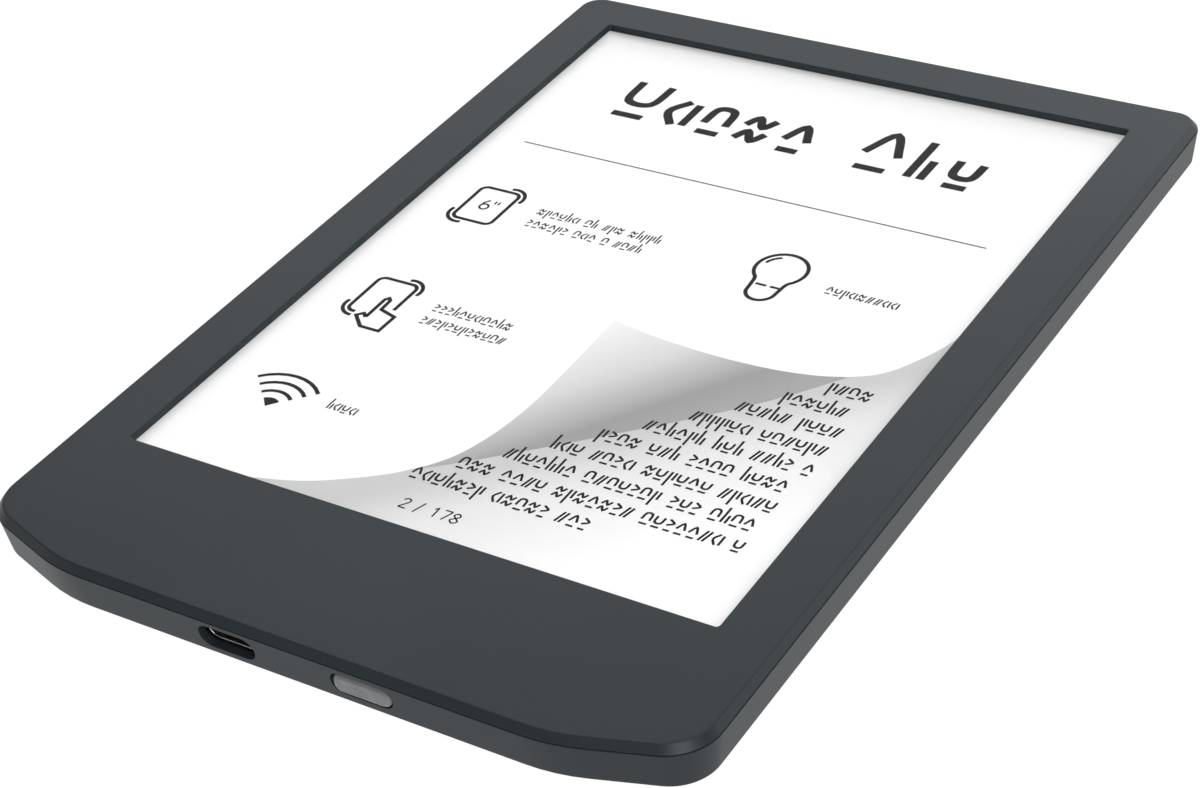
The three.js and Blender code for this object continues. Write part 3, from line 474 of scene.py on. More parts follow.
def front_bezel():
    """The face plate and its skirt, and the cutters that leave gaps in the skirt."""
    skin = Skin()
    outside = rounded_profile([
        (SKIRT_INNER_INSET, FACE_UNDERSIDE, 0),
        (SKIRT_INNER_INSET, SKIRT_BOTTOM, 0),
        (SKIRT_OUTER_INSET, SKIRT_BOTTOM, 0),
        (SKIRT_OUTER_INSET, RIM_Z, 0),
        (0, RIM_Z, RIM_FILLET),
        (FACE_CHAMFER, THICKNESS, FACE_EDGE_FILLET),
        (FACE_CHAMFER + FACE_MARGIN, THICKNESS, 0),
    ])
    opening = rounded_profile([
        (0, FACE_UNDERSIDE, 0),
        (OPENING_FLARE, THICKNESS, OPENING_FILLET),
        (OPENING_FLARE + FACE_MARGIN, THICKNESS, 0),
    ])
    inner, face_outer = skin.stack([(body_ring(inset), z) for inset, z in outside])
    under, face_inner = skin.stack([(opening_ring(growth), z) for growth, z in opening])
    skin.fill(face_outer, face_inner)
    skin.fill(inner, under)
    piece = skin.finish("bezel")
    cuts = []
    for index, (x, half) in enumerate([(PORT_X, PORT_GAP_HALF), (BUTTON_X, BUTTON_GAP_HALF)]):
        low = (x - half, -HALF_LENGTH - 1, SKIRT_BOTTOM - 1)
        high = (x + half, SKIRT_INNER_INSET - HALF_LENGTH + GAP_DEPTH, RIM_Z - GAP_TOP_ROOM)
        cuts.append(box_mesh(f"skirt_cut_{index}", low, high))
    return piece, cuts


def wall_slot(name, size, x, z):
    """A stadium-shaped cutter through the bottom wall, with a small flare at its mouth."""
    skin = Skin(lambda a, b, depth: (x + a, depth, z + b))
    face = -HALF_LENGTH
    levels = [
        (stadium_ring(size, -SLOT_FLARE * 3), face - 2 * SLOT_FLARE),
        (stadium_ring(size, -SLOT_FLARE), face),
        (stadium_ring(size, -SLOT_FLARE * 0.3), face + SLOT_FLARE * 0.9 + FLARE_DEPTH),
        (stadium_ring(size), face + SLOT_FLARE * 1.8 + FLARE_DEPTH),
        (stadium_ring(size), face + WALL_DEPTH),
    ]
    first, last = skin.stack(levels)
    skin.fill(first)
    skin.fill(last)
    return skin.finish(name)


def rear_cover():
    """The tray under the bezel, and the cutters for its two holes."""
    skin = Skin()
    profile = rounded_profile([
        (BACK_SLOPE_INSET + BACK_MARGIN, 0, 0),
        (BACK_SLOPE_INSET, 0, BACK_SLOPE_RADIUS),
        (WALL_DRAFT, WALL_FOOT_Z, WALL_FOOT_RADIUS),
        (0, COVER_RIM_Z, RIM_FILLET),
        (CAVITY_INSET, COVER_RIM_Z, RIM_FILLET),
        (CAVITY_INSET, CAVITY_KNEE_Z, 0),
        (CAVITY_FLOOR_INSET, FLOOR_THICKNESS, 0),
    ])
    back, floor = skin.stack([(body_ring(inset), z) for inset, z in profile])
    skin.fill(back)
    skin.fill(floor)
    piece = skin.finish("cover")
    button_slot = tuple(size + 2 * BUTTON_SLOT_CLEARANCE for size in BUTTON_CAP)
    cuts = [
        wall_slot("port_cut", PORT_SLOT, PORT_X, PORT_Z),
        wall_slot("button_cut", button_slot, BUTTON_X, BUTTON_Z),
    ]
    return piece, cuts


bezel, bezel_cuts = front_bezel()
cut(bezel, bezel_cuts)
smooth(bezel)
adopt(bezel, "housing", "front_bezel", HOUSING)

cover, cover_cuts = rear_cover()
cut(cover, cover_cuts)
smooth(cover)
adopt(cover, "housing", "rear_cover", HOUSING)

# ---------------------------------------------------------------------------------------
# Power button
# ---------------------------------------------------------------------------------------


BUTTON_FACE_MARGIN = 0.3
BUTTON_FACE_FILLET = 0.12
BUTTON_SIDE_FILLET = 0.1


def power_button():
    """The cap with its eased face, the flange that keeps it in, and the stem to the switch."""
    low, high = cad_span("power_button")
    face = low.y
    chamfer_across, chamfer_along = BUTTON_CHAMFER
    skin = Skin(lambda a, b, depth: (BUTTON_X + a, depth, BUTTON_Z + b))
    profile = rounded_profile([
        (chamfer_across + BUTTON_FACE_MARGIN, face, 0),
        (chamfer_across, face, BUTTON_FACE_FILLET),
        (0, face + chamfer_along, BUTTON_SIDE_FILLET),
        (0, BUTTON_FLANGE_Y[0], 0),
    ])
    cap = [(stadium_ring(BUTTON_CAP, inset), y) for inset, y in profile]
    cap += [(stadium_ring(BUTTON_FLANGE), y) for y in BUTTON_FLANGE_Y]
    first, last = skin.stack(cap)
    skin.fill(first)
    skin.fill(last)
    half = STEM_WIDTH / 2
    stem_z = [z - BUTTON_Z for z in STEM_Z]
    stem = [(-half, stem_z[0]), (half, stem_z[0]), (half, stem_z[1]), (-half, stem_z[1])]
    root, tip = skin.stack([(stem, BUTTON_FLANGE_Y[1]), (stem, high.y)])
    skin.fill(root)
    skin.fill(tip)
    return skin.finish("button")


button = power_button()
smooth(button)
adopt(button, "power_button", "power_button", BUTTON)

# ---------------------------------------------------------------------------------------
# Charging port
# ---------------------------------------------------------------------------------------


SLEEVE_OUTER_FILLET = 0.1
SLEEVE_INNER_FILLET = 0.12

TONGUE_ROOT_Y = -70.6
# The tongue's tip: how far each section is inset across and in height, and its distance back
TONGUE_TIP = [(0.35, 0.2, 0), (0.15, 0.12, 0.12), (0, 0.08, 0.6), (0, 0, 0.75)]
BLOCK_INSET = 0.08

CONTACTS_PER_SIDE = 12
CONTACT_PITCH = 0.5
CONTACT_WIDTH = 0.26
CONTACT_START_Y = (-74.6, -74.1)
CONTACT_END_Y = -70.7
CONTACT_SINK = 0.01
CONTACT_HALF_THICKNESS = 0.02


def port_sleeve():
    low, high = cad_span("port_sleeve")
    skin = Skin(lambda a, b, depth: (PORT_X + a, depth, PORT_Z + b))
    wall = (SLEEVE_SIZE[1] - SLEEVE_MOUTH[1]) / 2
    profile = rounded_profile([
        (0, high.y, 0),
        (0, low.y, SLEEVE_OUTER_FILLET),
        (wall, low.y, SLEEVE_INNER_FILLET),
        (wall, high.y, 0),
    ])
    first, last = skin.stack([(stadium_ring(SLEEVE_SIZE, inset), y) for inset, y in profile])
    skin.join(last, first)
    return skin.finish("sleeve")


def port_tongue():
    """The moulded tongue with its thinner tip, and the block that closes the sleeve behind it."""
    low, high = cad_span("port_tongue")
    skin = Skin(lambda a, b, depth: (PORT_X + a, depth, PORT_Z + b))
    half_width, half_height = TONGUE_SIZE[0] / 2, TONGUE_SIZE[1] / 2

    def section(inset_x, inset_z):
        x, z = half_width - inset_x, half_height - inset_z
        return [(-x, -z), (x, -z), (x, z), (-x, z)]

    levels = [(section(inset_x, inset_z), low.y + back) for inset_x, inset_z, back in TONGUE_TIP]
    levels.append((section(0, 0), TONGUE_ROOT_Y))
    first, last = skin.stack(levels)
    skin.fill(first)
    skin.fill(last)
    block = [(stadium_ring(SLEEVE_MOUTH, BLOCK_INSET), y) for y in (TONGUE_ROOT_Y, high.y)]
    front, back = skin.stack(block)
    skin.fill(front)
    skin.fill(back)
    return skin.finish("tongue")


def port_contacts():
    """Twelve flat contacts on each side of the tongue."""
    skin = Skin()
    for side in (-1, 1):
        face = PORT_Z + side * (TONGUE_SIZE[1] / 2 - CONTACT_SINK)
        for index in range(CONTACTS_PER_SIDE):
            x = PORT_X + (index - (CONTACTS_PER_SIDE - 1) / 2) * CONTACT_PITCH
            start = CONTACT_START_Y[index % 2]
            half = CONTACT_WIDTH / 2
            ring = [
                (x - half, start),
                (x + half, start),
                (x + half, CONTACT_END_Y),
                (x - half, CONTACT_END_Y),
            ]
            lower, upper = skin.stack([
                (ring, face - CONTACT_HALF_THICKNESS),
                (ring, face + CONTACT_HALF_THICKNESS),
            ])
            skin.fill(lower)
            skin.fill(upper)
    return skin.finish("contacts")


sleeve = port_sleeve()
smooth(sleeve)
adopt(sleeve, "housing", "port_sleeve", PORT_STEEL)
adopt(port_tongue(), "housing", "port_tongue", PORT_BLACK)
adopt(port_contacts(), "housing", None, CONTACT_GOLD)

# ---------------------------------------------------------------------------------------
# Page shown on the display
# ---------------------------------------------------------------------------------------

INK_TOP = cad_span("display_panel")[1].z
# The printed sheets and marks are thin solids, laid one above the other over the ink layer
DECAL_THICKNESS = 0.008
SHEET_Z = INK_TOP + 0.004
INK_Z = SHEET_Z + 0.018
# The least cosine at a corner of a stroke, so that a sharp corner's mitre stays short
MITRE_LIMIT = 0.4


class Print:
    """Flat printed shapes, each a thin closed solid, gathered in one mesh."""

    def __init__(self, z):
        self.mesh = bmesh.new()
        self.z = z

    def area(self, outline):
        """One filled outline."""
        sheets = []
        for height in (self.z, self.z + DECAL_THICKNESS):
            sheets.append([self.mesh.verts.new((x * MM, y * MM, height * MM)) for x, y in outline])
        count = len(outline)
        for i in range(count):
            j = (i + 1) % count
            self.mesh.faces.new((sheets[0][i], sheets[0][j], sheets[1][j], sheets[1][i]))
        self.mesh.faces.new(reversed(sheets[0]))
        self.mesh.faces.new(sheets[1])

    def line(self, points, width, closed=False):
        """A stroke of even width with mitred corners."""
        path = [Vector(point) for point in points]
        count = len(path)
        sides = []
        for i, here in enumerate(path):
            before = path[i - 1] if closed or i > 0 else None
            after = path[(i + 1) % count] if closed or i < count - 1 else None
            arriving = (here - before).normalized() if before is not None else None
            leaving = (after - here).normalized() if after is not None else None
            arriving = arriving or leaving
            leaving = leaving or arriving
            along = (arriving + leaving).normalized()
            normal = Vector((-along.y, along.x))
            reach = width / 2 / max(MITRE_LIMIT, normal.dot(Vector((-leaving.y, leaving.x))))
            sides.append((here + normal * reach, here - normal * reach))
        spans = count if closed else count - 1
        rows = []
        for left, right in sides:
            rows.append([
                self.mesh.verts.new((point.x * MM, point.y * MM, height * MM))
                for point, height in (
                    (left, self.z),
                    (right, self.z),
                    (right, self.z + DECAL_THICKNESS),
                    (left, self.z + DECAL_THICKNESS),
                )
            ])
        for i in range(spans):
            this, following = rows[i], rows[(i + 1) % count]
            for k in range(4):
                m = (k + 1) % 4
                self.mesh.faces.new((this[k], this[m], following[m], following[k]))
        if not closed:
            self.mesh.faces.new(rows[0])
            self.mesh.faces.new(reversed(rows[-1]))

    def finish(self, name):
        bmesh.ops.recalc_face_normals(self.mesh, faces=self.mesh.faces)
        data = bpy.data.meshes.new(name)
        self.mesh.to_mesh(data)
        self.mesh.free()
        piece = bpy.data.objects.new(name, data)
        bpy.context.scene.collection.objects.link(piece)
        return piece


def arc(centre, radius, start, end, step_deg=12):
    steps = max(2, round(abs(end - start) / step_deg))
    points = []
    for step in range(steps + 1):
        angle = math.radians(start + (end - start) * step / steps)
        points.append((centre[0] + radius * math.cos(angle), centre[1] + radius * math.sin(angle)))
    return points


# Marks that stand for text and spell nothing: bars, bows and waves, in units of the x-height.
# Each is the width that it takes up, and its curves.
MARKS = [
    (0.74, [[(0.05, 0.35), (0.12, 0.95), (0.5, 0.95), (0.58, 0.35)], [(0.05, 0), (0.58, 0)]]),
    (0.76, [[(0.36, 1), (0.06, 0.5), (0.36, 0)], [(0.6, 0.05), (0.6, 0.95)]]),
    (0.76, [[(0.05, 0.4), (0.32, 0.98), (0.6, 0.4)], [(0.08, 0), (0.57, 0)]]),
    (0.80, [[(0.03, 0.62), (0.22, 0.95), (0.44, 0.62), (0.64, 0.95)],
            [(0.03, 0.05), (0.22, 0.38), (0.44, 0.05), (0.64, 0.38)]]),
    (0.70, [[(0.05, 0), (0.28, 1)], [(0.32, 0), (0.55, 1)]]),
    (0.74, [[(0.05, 0.97), (0.1, 0.4), (0.5, 0.4), (0.57, 0.97)], [(0.05, 0), (0.57, 0)]]),
    (0.64, [[(0.06, 1), (0.46, 0.72), (0.06, 0.44)], [(0.06, 0), (0.5, 0)]]),
    (0.56, [[(0.1, 0), (0.1, 1.43)], [(0.4, 0), (0.4, 0.75)]]),
    (0.56, [[(0.1, -0.4), (0.1, 1)], [(0.4, 0.25), (0.4, 1)]]),
]


def greeked_line(page, start, end, x_height, width, words, draw):
    """Fills a line with words of marks that spell nothing, from start to the x of end."""
    x, y = start
    for word in words:
        for _ in range(word):
            advance, strokes = MARKS[draw.randrange(len(MARKS))]
            if x + advance * x_height > end:
                return
            for stroke in strokes:
                curve = smooth_path([(x + a * x_height, y + b * x_height) for a, b in stroke], 3)
                page.line(curve, width)
            x += advance * x_height + width * 0.4
        x += x_height * 0.55


# The turned page: its free edge, its folded-up edge and the line where the fold touches down
PAGE_CORNER = (-1.2, -1.0)
FREE_EDGE = [
    (-31.0, -52.9), (-26.7, -51.3), (-21.9, -49.9), (-17.5, -48.0), (-12.2, -44.7),
    (-8.8, -42.0), (-5.6, -38.5), (-3.6, -34.9), (-2.2, -30.3), (-1.4, -25.7),
    (-1.0, -20.5), (-0.95, -14.6), (-1.05, -8.3), PAGE_CORNER,
]
RIGHT_EDGE = [
    PAGE_CORNER, (5.5, -2.1), (12.0, -2.65), (18.3, -2.8), (24.1, -2.5), (28.6, -1.85),
    (32.7, -0.75), (37.0, 1.35), (39.6, 3.9), (41.7, 7.6), (43.2, 10.9), (44.4, 15.0),
    (45.2, 19.0), (46.8, 24.0),
]
FOLD_LINE = [(-8.8, -42.0), (-2.5, -37.0), (7.1, -28.6), (20.9, -15.9), (28.9, -7.5), (34.7, -0.1)]
PAGE_EDGE_X = 46.8
PAGE_EDGE_Y = -55

# How each sheet is shaded: the line along which its tone runs, and the tones on the way
NEXT_PAGE_LINE = ((9, -29), (27, -47))
NEXT_PAGE_TONES = [(0.0, 0.30), (0.3, 0.40), (0.83, 0.477), (1.0, 0.495)]
TURNED_PAGE_LINE = ((-4, -4), (18.5, -20))
TURNED_PAGE_TONES = [
    (0.0, 0.46),
    (0.2, 0.405),
    (0.45, 0.335),
    (0.72, 0.2),
    (0.8, 0.163),
    (1.0, 0.185),
]


def smooth_path(points, per_span=4):
    """A Catmull-Rom curve through the points."""
    path = [Vector(point) for point in points]
    ends = [2 * path[0] - path[1], *path, 2 * path[-1] - path[-2]]
    out = []
    for a, b, c, d in zip(ends, ends[1:], ends[2:], ends[3:]):
        for step in range(per_span):
            t = step / per_span
            point = (
                2 * b
                + (c - a) * t
                + (2 * a - 5 * b + 4 * c - d) * t ** 2
                + (3 * b - a - 3 * c + d) * t ** 3
            ) / 2
            out.append((point.x, point.y))
    out.append(tuple(path[-1]))
    return out


def gradient(name, toward, stops):
    """Paper shaded along a direction in the page's plane, given as two points in mm."""
    (x0, y0), (x1, y1) = toward
    finish = Finish(name, specular=0.2)
    length = math.hypot(x1 - x0, y1 - y0)
    direction = ((x1 - x0) / length, (y1 - y0) / length, 0)
    dot = finish.nodes.new("ShaderNodeVectorMath")
    dot.operation = "DOT_PRODUCT"
    dot.inputs[1].default_value = direction
    finish.links.new(finish.place, dot.inputs[0])
    scale = finish.nodes.new("ShaderNodeMapRange")
    start = (x0 * direction[0] + y0 * direction[1]) * MM
    scale.inputs["From Min"].default_value = start
    scale.inputs["From Max"].default_value = start + length * MM
    finish.links.new(dot.outputs["Value"], scale.inputs["Value"])
    return lit_paper(finish, finish.ramp(scale.outputs["Result"], stops))


def next_page():
    """The sheet under the turned page, uncovered to the right of the free edge."""
    sheet = Print(SHEET_Z)
    outline = smooth_path(FREE_EDGE)[:-1] + smooth_path(RIGHT_EDGE)
    outline += [(PAGE_EDGE_X, PAGE_EDGE_Y), (FREE_EDGE[0][0], PAGE_EDGE_Y)]
    sheet.area(outline)
    shade = gradient("next page", NEXT_PAGE_LINE, NEXT_PAGE_TONES)
    adopt(sheet.finish("next_page"), "housing", None, shade)


def turned_page():
    """The back of the page that is being turned, between its edges and the fold."""
    sheet = Print(SHEET_Z + DECAL_THICKNESS)
    free = [point for point in smooth_path(FREE_EDGE)[:-1] if point[1] > FOLD_LINE[0][1]]
    folded = [point for point in smooth_path(RIGHT_EDGE) if point[0] < FOLD_LINE[-1][0]]
    fold = smooth_path(FOLD_LINE)
    sheet.area(free + folded + fold[::-1])
    shade = gradient("turned page", TURNED_PAGE_LINE, TURNED_PAGE_TONES)
    adopt(sheet.finish("turned_page"), "housing", None, shade)


TEXT_RIGHT = 40.3
TEXT_PITCH = 4.25
TEXT_X_HEIGHT = 2.15
TEXT_STROKE = 0.36
LAST_BASELINE = -42.35
LAST_LINE_RIGHT = 20
BOOK_LINES = 10
# The fold hides the start of each line: the lowest starts here, each one above further right
TEXT_LEFT = FOLD_LINE[0][0] + 1.3
LEFT_STEP = 4.55


def book_text():
    """Lines of marks on the next page, each starting where the fold uncovers it."""
    draw = random.Random(5)
    page = Print(INK_Z)
    for index in range(BOOK_LINES):
        y = LAST_BASELINE + TEXT_PITCH * index
        x = TEXT_LEFT + LEFT_STEP * index
        end = LAST_LINE_RIGHT if index == 0 else TEXT_RIGHT
        words = [draw.choice([3, 4, 5, 6, 7]) for _ in range(8)]
        greeked_line(page, (x, y), end, TEXT_X_HEIGHT, TEXT_STROKE, words, draw)
    adopt(page.finish("book_text"), "housing", None, INK)


def rounded_box(page, low, high, radius, width):
    centre = ((low[0] + high[0]) / 2, (low[1] + high[1]) / 2)
    ring = rectangle_ring(high[0] - low[0], high[1] - low[1], centre, radius)
    page.line(ring, width, closed=True)


ICON_STROKE = 0.6
ICON_THIN_STROKE = ICON_STROKE * 0.8
ICON_CORNER = 1.1
BRACKET_RADIUS = 2.3
BRACKET_INSET = 1.3

SCREEN_ICON = ((-38.4, 12.9), (-31.6, 21.9))
SIX_BOWL = (-35.2, 17.0)
SIX_BOWL_RADIUS = 0.7
SIX_STEM = [(-35.88, 17.1), (-35.75, 18.0), (-35.1, 18.8)]
SIX_STROKE = 0.34
INCH_MARKS = [[(-34.0, 18.9), (-34.05, 18.1)], [(-33.4, 18.9), (-33.45, 18.1)]]
INCH_STROKE = 0.3

TOUCH_ICON = ((-38.4, -13.8), (-31.7, -4.9))
TOUCH_ICON_GAP = (1.6, -11.4)
HAND = [
    (-34.5, -14.4),
    (-35.3, -13.7),
    (-36.1, -14.5),
    (-33.9, -16.6),
    (-30.7, -16.6),
    (-30.6, -12.8),
    (-33.4, -12.0),
]
FINGER = [(-34.5, -14.4), (-34.5, -9.6), (-34.1, -9.1), (-33.6, -9.6), (-33.5, -12.2)]

BULB_CENTRE = (14.1, 19.3)
BULB_RADIUS = 3.9
BULB_GLINT_RADIUS = 3.0
BULB_NECK_LEFT = [(11.7, 15.7), (11.9, 13.6)]
BULB_NECK_RIGHT = [(16.3, 13.6), (16.5, 15.7)]
BULB_FOOT_CENTRE = (14.1, 13.4)
BULB_FOOT_RADIUS = 2.2
BULB_SEAM = [[(12.4, 14.9), (14.1, 14.9)], [(14.7, 14.9), (16.1, 14.9)]]

WAVES_CENTRE = (-34.7, -37.7)
WAVES_RADII = (3.55, 5.5, 7.4)
WAVES_DOT_RADIUS = 2.0


def upper_bracket(page, high):
    """An arc beside the upper right corner of an icon."""
    centre = (high[0] - BRACKET_INSET, high[1] - BRACKET_INSET)
    page.line(arc(centre, BRACKET_RADIUS, -22, 112), ICON_STROKE)


def lower_bracket(page, low, end_deg):
    """An arc beside the lower left corner of an icon."""
    centre = (low[0] + BRACKET_INSET, low[1] + BRACKET_INSET)
    page.line(arc(centre, BRACKET_RADIUS, 158, end_deg), ICON_STROKE)


def screen_icon():
    """A screen between two brackets, with its size in inches."""
    page = Print(INK_Z)
    low, high = SCREEN_ICON
    rounded_box(page, low, high, ICON_CORNER, ICON_STROKE)
    upper_bracket(page, high)
    lower_bracket(page, low, 292)
    page.line(arc(SIX_BOWL, SIX_BOWL_RADIUS, 0, 360)[:-1], SIX_STROKE, closed=True)
    page.line(SIX_STEM, SIX_STROKE)
    for mark in INCH_MARKS:
        page.line(mark, INCH_STROKE)
    return page


def touch_icon():
    """A hand on a screen, whose outline is open where the hand covers it."""
    page = Print(INK_Z)
    (left, bottom), (right, top) = TOUCH_ICON
    gap_start, gap_end_y = TOUCH_ICON_GAP
    radius = ICON_CORNER
    outline = [(left + gap_start, bottom)]
    outline += arc((left + radius, bottom + radius), radius, 270, 180)
    outline += arc((left + radius, top - radius), radius, 180, 90)
    outline += arc((right - radius, top - radius), radius, 90, 0)
    outline += [(right, gap_end_y)]
    page.line(outline, ICON_STROKE)
    upper_bracket(page, TOUCH_ICON[1])
    lower_bracket(page, TOUCH_ICON[0], 275)
    page.line(HAND, ICON_STROKE)
    page.line(FINGER, ICON_STROKE)
    return page


def bulb_icon():
    page = Print(INK_Z)
    outline = arc(BULB_CENTRE, BULB_RADIUS, -48, 228)
    outline += BULB_NECK_LEFT
    outline += arc(BULB_FOOT_CENTRE, BULB_FOOT_RADIUS, 180, 360)
    outline += BULB_NECK_RIGHT
    page.line(outline, ICON_STROKE, closed=True)
    for dash in BULB_SEAM:
        page.line(dash, ICON_THIN_STROKE)
    page.line(arc(BULB_CENTRE, BULB_GLINT_RADIUS, 115, 165), ICON_THIN_STROKE)
    return page


def waves_icon():
    """Three arcs over a wedge, the general sign for a wireless link."""
    page = Print(INK_Z)
    for radius in WAVES_RADII:
        page.line(arc(WAVES_CENTRE, radius, 45, 135), ICON_STROKE)
    page.area([WAVES_CENTRE] + arc(WAVES_CENTRE, WAVES_DOT_RADIUS, 48, 132))
    return page


LABEL_X_HEIGHT = 1.6
LABEL_STROKE = 0.27
# Each line of the labels: where it starts, how far right it may run, and its words' lengths
LABEL_LINES = [
    ((-26.7, 18.2), -5.5, [6, 2, 3, 5]),
    ((-26.7, 15.0), -5.3, [6, 3, 1, 4]),
    ((-26.7, -9.2), -12.7, [12]),
    ((-26.7, -12.45), -12.2, [12]),
    ((22.3, 16.55), 33.7, [10]),
    ((-26.7, -34.6), -21.0, [5]),
]


def labels():
    """Small marks beside each icon, where the photographed page has its labels."""
    draw = random.Random(3)
    page = Print(INK_Z)
    for start, end, words in LABEL_LINES:
        greeked_line(page, start, end, LABEL_X_HEIGHT, LABEL_STROKE, words, draw)
    return page


TITLE_BASE = 48.45
TITLE_X_HEIGHT = 7.2
TITLE_TALL = 10.3
TITLE_STROKE = 1.4

# The title's marks: where each starts, its height, and which of the marks it is
TITLE_MARKS = [
    (-32.4, TITLE_TALL, 5),
    (-24.0, TITLE_X_HEIGHT, 1),
    (-17.2, TITLE_X_HEIGHT, 0),
    (-10.6, TITLE_X_HEIGHT, 3),
    (-3.3, TITLE_X_HEIGHT, 2),
    (9.6, TITLE_TALL, 2),
    (18.4, TITLE_X_HEIGHT, 7),
    (24.6, TITLE_X_HEIGHT, 5),
]


def title():
    """Bold marks that spell nothing, where the photographed page has its title."""
    page = Print(INK_Z)
    for x, height, index in TITLE_MARKS:
        for curve in MARKS[index][1]:
            points = [(x + a * height, TITLE_BASE + b * height) for a, b in curve]
            page.line(smooth_path(points, 5), TITLE_STROKE)
    return page


NUMBER_START = (-5, -48.2)
NUMBER_HEIGHT = 1.9
NUMBER_STROKE = 0.24
FIGURE_ADVANCE = 0.8
SPACE_ADVANCE = 0.45
PAGE_NUMBER = "2 / 178"

# The curves of each figure, in units of its height
FIGURES = {
    "2": [[(0, 0.8), (0.3, 1), (0.55, 0.75), (0, 0)], [(0, 0), (0.6, 0)]],
    "/": [[(0, -0.1), (0.4, 1.05)]],
    "1": [[(0.05, 0.75), (0.3, 1)], [(0.3, 1), (0.3, 0)]],
    "7": [[(0, 1), (0.6, 1)], [(0.6, 1), (0.2, 0)]],
    "8": [[
        (0.3, 0.52),
        (0.05, 0.78),
        (0.3, 1),
        (0.55, 0.78),
        (0.3, 0.52),
        (0, 0.25),
        (0.3, 0),
        (0.6, 0.25),
        (0.3, 0.52),
    ]],
}


def page_number():
    """The page number and the page count, in plain strokes."""
    page = Print(INK_Z)
    x, y = NUMBER_START
    for figure in PAGE_NUMBER:
        for curve in FIGURES.get(figure, []):
            points = [(x + a * NUMBER_HEIGHT, y + b * NUMBER_HEIGHT) for a, b in curve]
            page.line(smooth_path(points, 3), NUMBER_STROKE)
        x += NUMBER_HEIGHT * (FIGURE_ADVANCE if figure in FIGURES else SPACE_ADVANCE)
    return page


RULE_LEFT = -39.9
RULE_RIGHT = 38.2
RULE_Y = 35.4
RULE_STROKE = 0.24


def rule():
    page = Print(INK_Z)
    page.line([(RULE_LEFT, RULE_Y), (RULE_RIGHT, RULE_Y)], RULE_STROKE)
    return page


next_page()
turned_page()
book_text()
for name, drawing, colour in [
    ("title_marks", title(), INK),
    ("page_rule", rule(), INK),
    ("screen_icon", screen_icon(), INK),
    ("touch_icon", touch_icon(), INK),
    ("bulb_icon", bulb_icon(), INK),
    ("waves_icon", waves_icon(), INK),
    ("page_number", page_number(), INK),
    ("label_text", labels(), SOFT_INK),
]:
    adopt(drawing.finish(name), "housing", None, colour)

# ---------------------------------------------------------------------------------------
# Finishes of the CAD nodes that stay
# ---------------------------------------------------------------------------------------


def grained(name, dark, light, roughness, grains, depth, metallic=0.0, stretch=(1, 1, 1)):
    """A surface whose colour, gloss and relief all follow one grain."""
    finish = Finish(name, metallic=metallic)
    grain = finish.noise(grains, detail=4, roughness=0.6, stretch=stretch)
    finish.colour(grain, dark, light)
    finish.rough(grain, *roughness)
    finish.bump(grain, depth)
    return finish.material


# CAD nodes, by the start of their names, and the finish that each takes
FINISH_OF_NODES = [
    (("display_panel",), PAGE),
    (("touch_panel",), clear_film("touch film", 0.01, (0.35, 0.5))),
    (("light_guide",), clear_film("light guide sheet", 0.006, (0.15, 0.25))),
    (("display_gasket",),
     grained("display foam", (0.008, 0.008, 0.009), (0.02, 0.02, 0.021), (0.85, 0.98), 5, 0.05)),
    (("light_strip", "touch_flex", "display_flex"),
     grained("flex film", (0.36, 0.15, 0.03), (0.48, 0.22, 0.05), (0.35, 0.5), 1.5, 0.004)),
    (("status_led", "front_light_led"),
     grained("led resin", (0.78, 0.70, 0.36), (0.88, 0.82, 0.50), (0.25, 0.4), 3, 0.004)),
    (("mid_frame",),
     grained("frame alloy", (0.38, 0.39, 0.40), (0.52, 0.53, 0.54), (0.35, 0.5), 2, 0.01, 1.0)),
    (("chassis_screw", "board_screw"),
     grained("screw steel", (0.45, 0.45, 0.46), (0.62, 0.62, 0.63), (0.25, 0.4), 4, 0.004, 1.0)),
    (("main_board", "battery_protection_board"),
     grained("board laminate", (0.012, 0.085, 0.035), (0.02, 0.12, 0.05), (0.3, 0.45), 1.2, 0.01)),
    (("display_driver", "processor_chip", "memory_chip", "storage_chip", "power_chip",
      "display_power_chip", "power_inductor"),
     grained("chip epoxy", (0.010, 0.010, 0.011), (0.022, 0.022, 0.023), (0.5, 0.7), 6, 0.01)),
    (("radio_module",),
     grained("shield steel", (0.5, 0.5, 0.51), (0.62, 0.62, 0.63), (0.3, 0.42), 2, 0.004, 1.0,
             stretch=(1, 6, 1))),
    (("radio_antenna",),
     grained("antenna ceramic", (0.72, 0.69, 0.62), (0.80, 0.78, 0.71), (0.5, 0.6), 5, 0.006)),
    (("display_connector", "touch_connector", "light_connector", "battery_connector",
      "battery_header"),
     grained("connector plastic", (0.60, 0.56, 0.46), (0.70, 0.66, 0.56), (0.4, 0.55), 4, 0.006)),
    (("switch_plunger", "switch_body"),
     grained("switch plastic", (0.014, 0.014, 0.015), (0.026, 0.026, 0.027), (0.45, 0.6), 5, 0.008)),
    (("switch_dome",),
     grained("dome steel", (0.55, 0.53, 0.50), (0.68, 0.66, 0.62), (0.2, 0.3), 4, 0.002, 1.0)),
    (("battery_cell",),
     grained("battery pouch", (0.38, 0.39, 0.41), (0.48, 0.49, 0.51), (0.3, 0.45), 0.5, 0.02, 0.8)),
    (("battery_cable",),
     grained("wire sleeve", (0.26, 0.012, 0.012), (0.34, 0.02, 0.02), (0.4, 0.55), 3, 0.006)),
    (("battery_adhesive",),
     grained("adhesive tape", (0.62, 0.60, 0.48), (0.72, 0.70, 0.58), (0.7, 0.9), 2, 0.01)),
]

for node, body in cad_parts.items():
    for names, chosen in FINISH_OF_NODES:
        if node.startswith(names):
            body.data.materials.clear()
            body.data.materials.append(chosen)

# ---------------------------------------------------------------------------------------
# Floor, light and camera
# ---------------------------------------------------------------------------------------

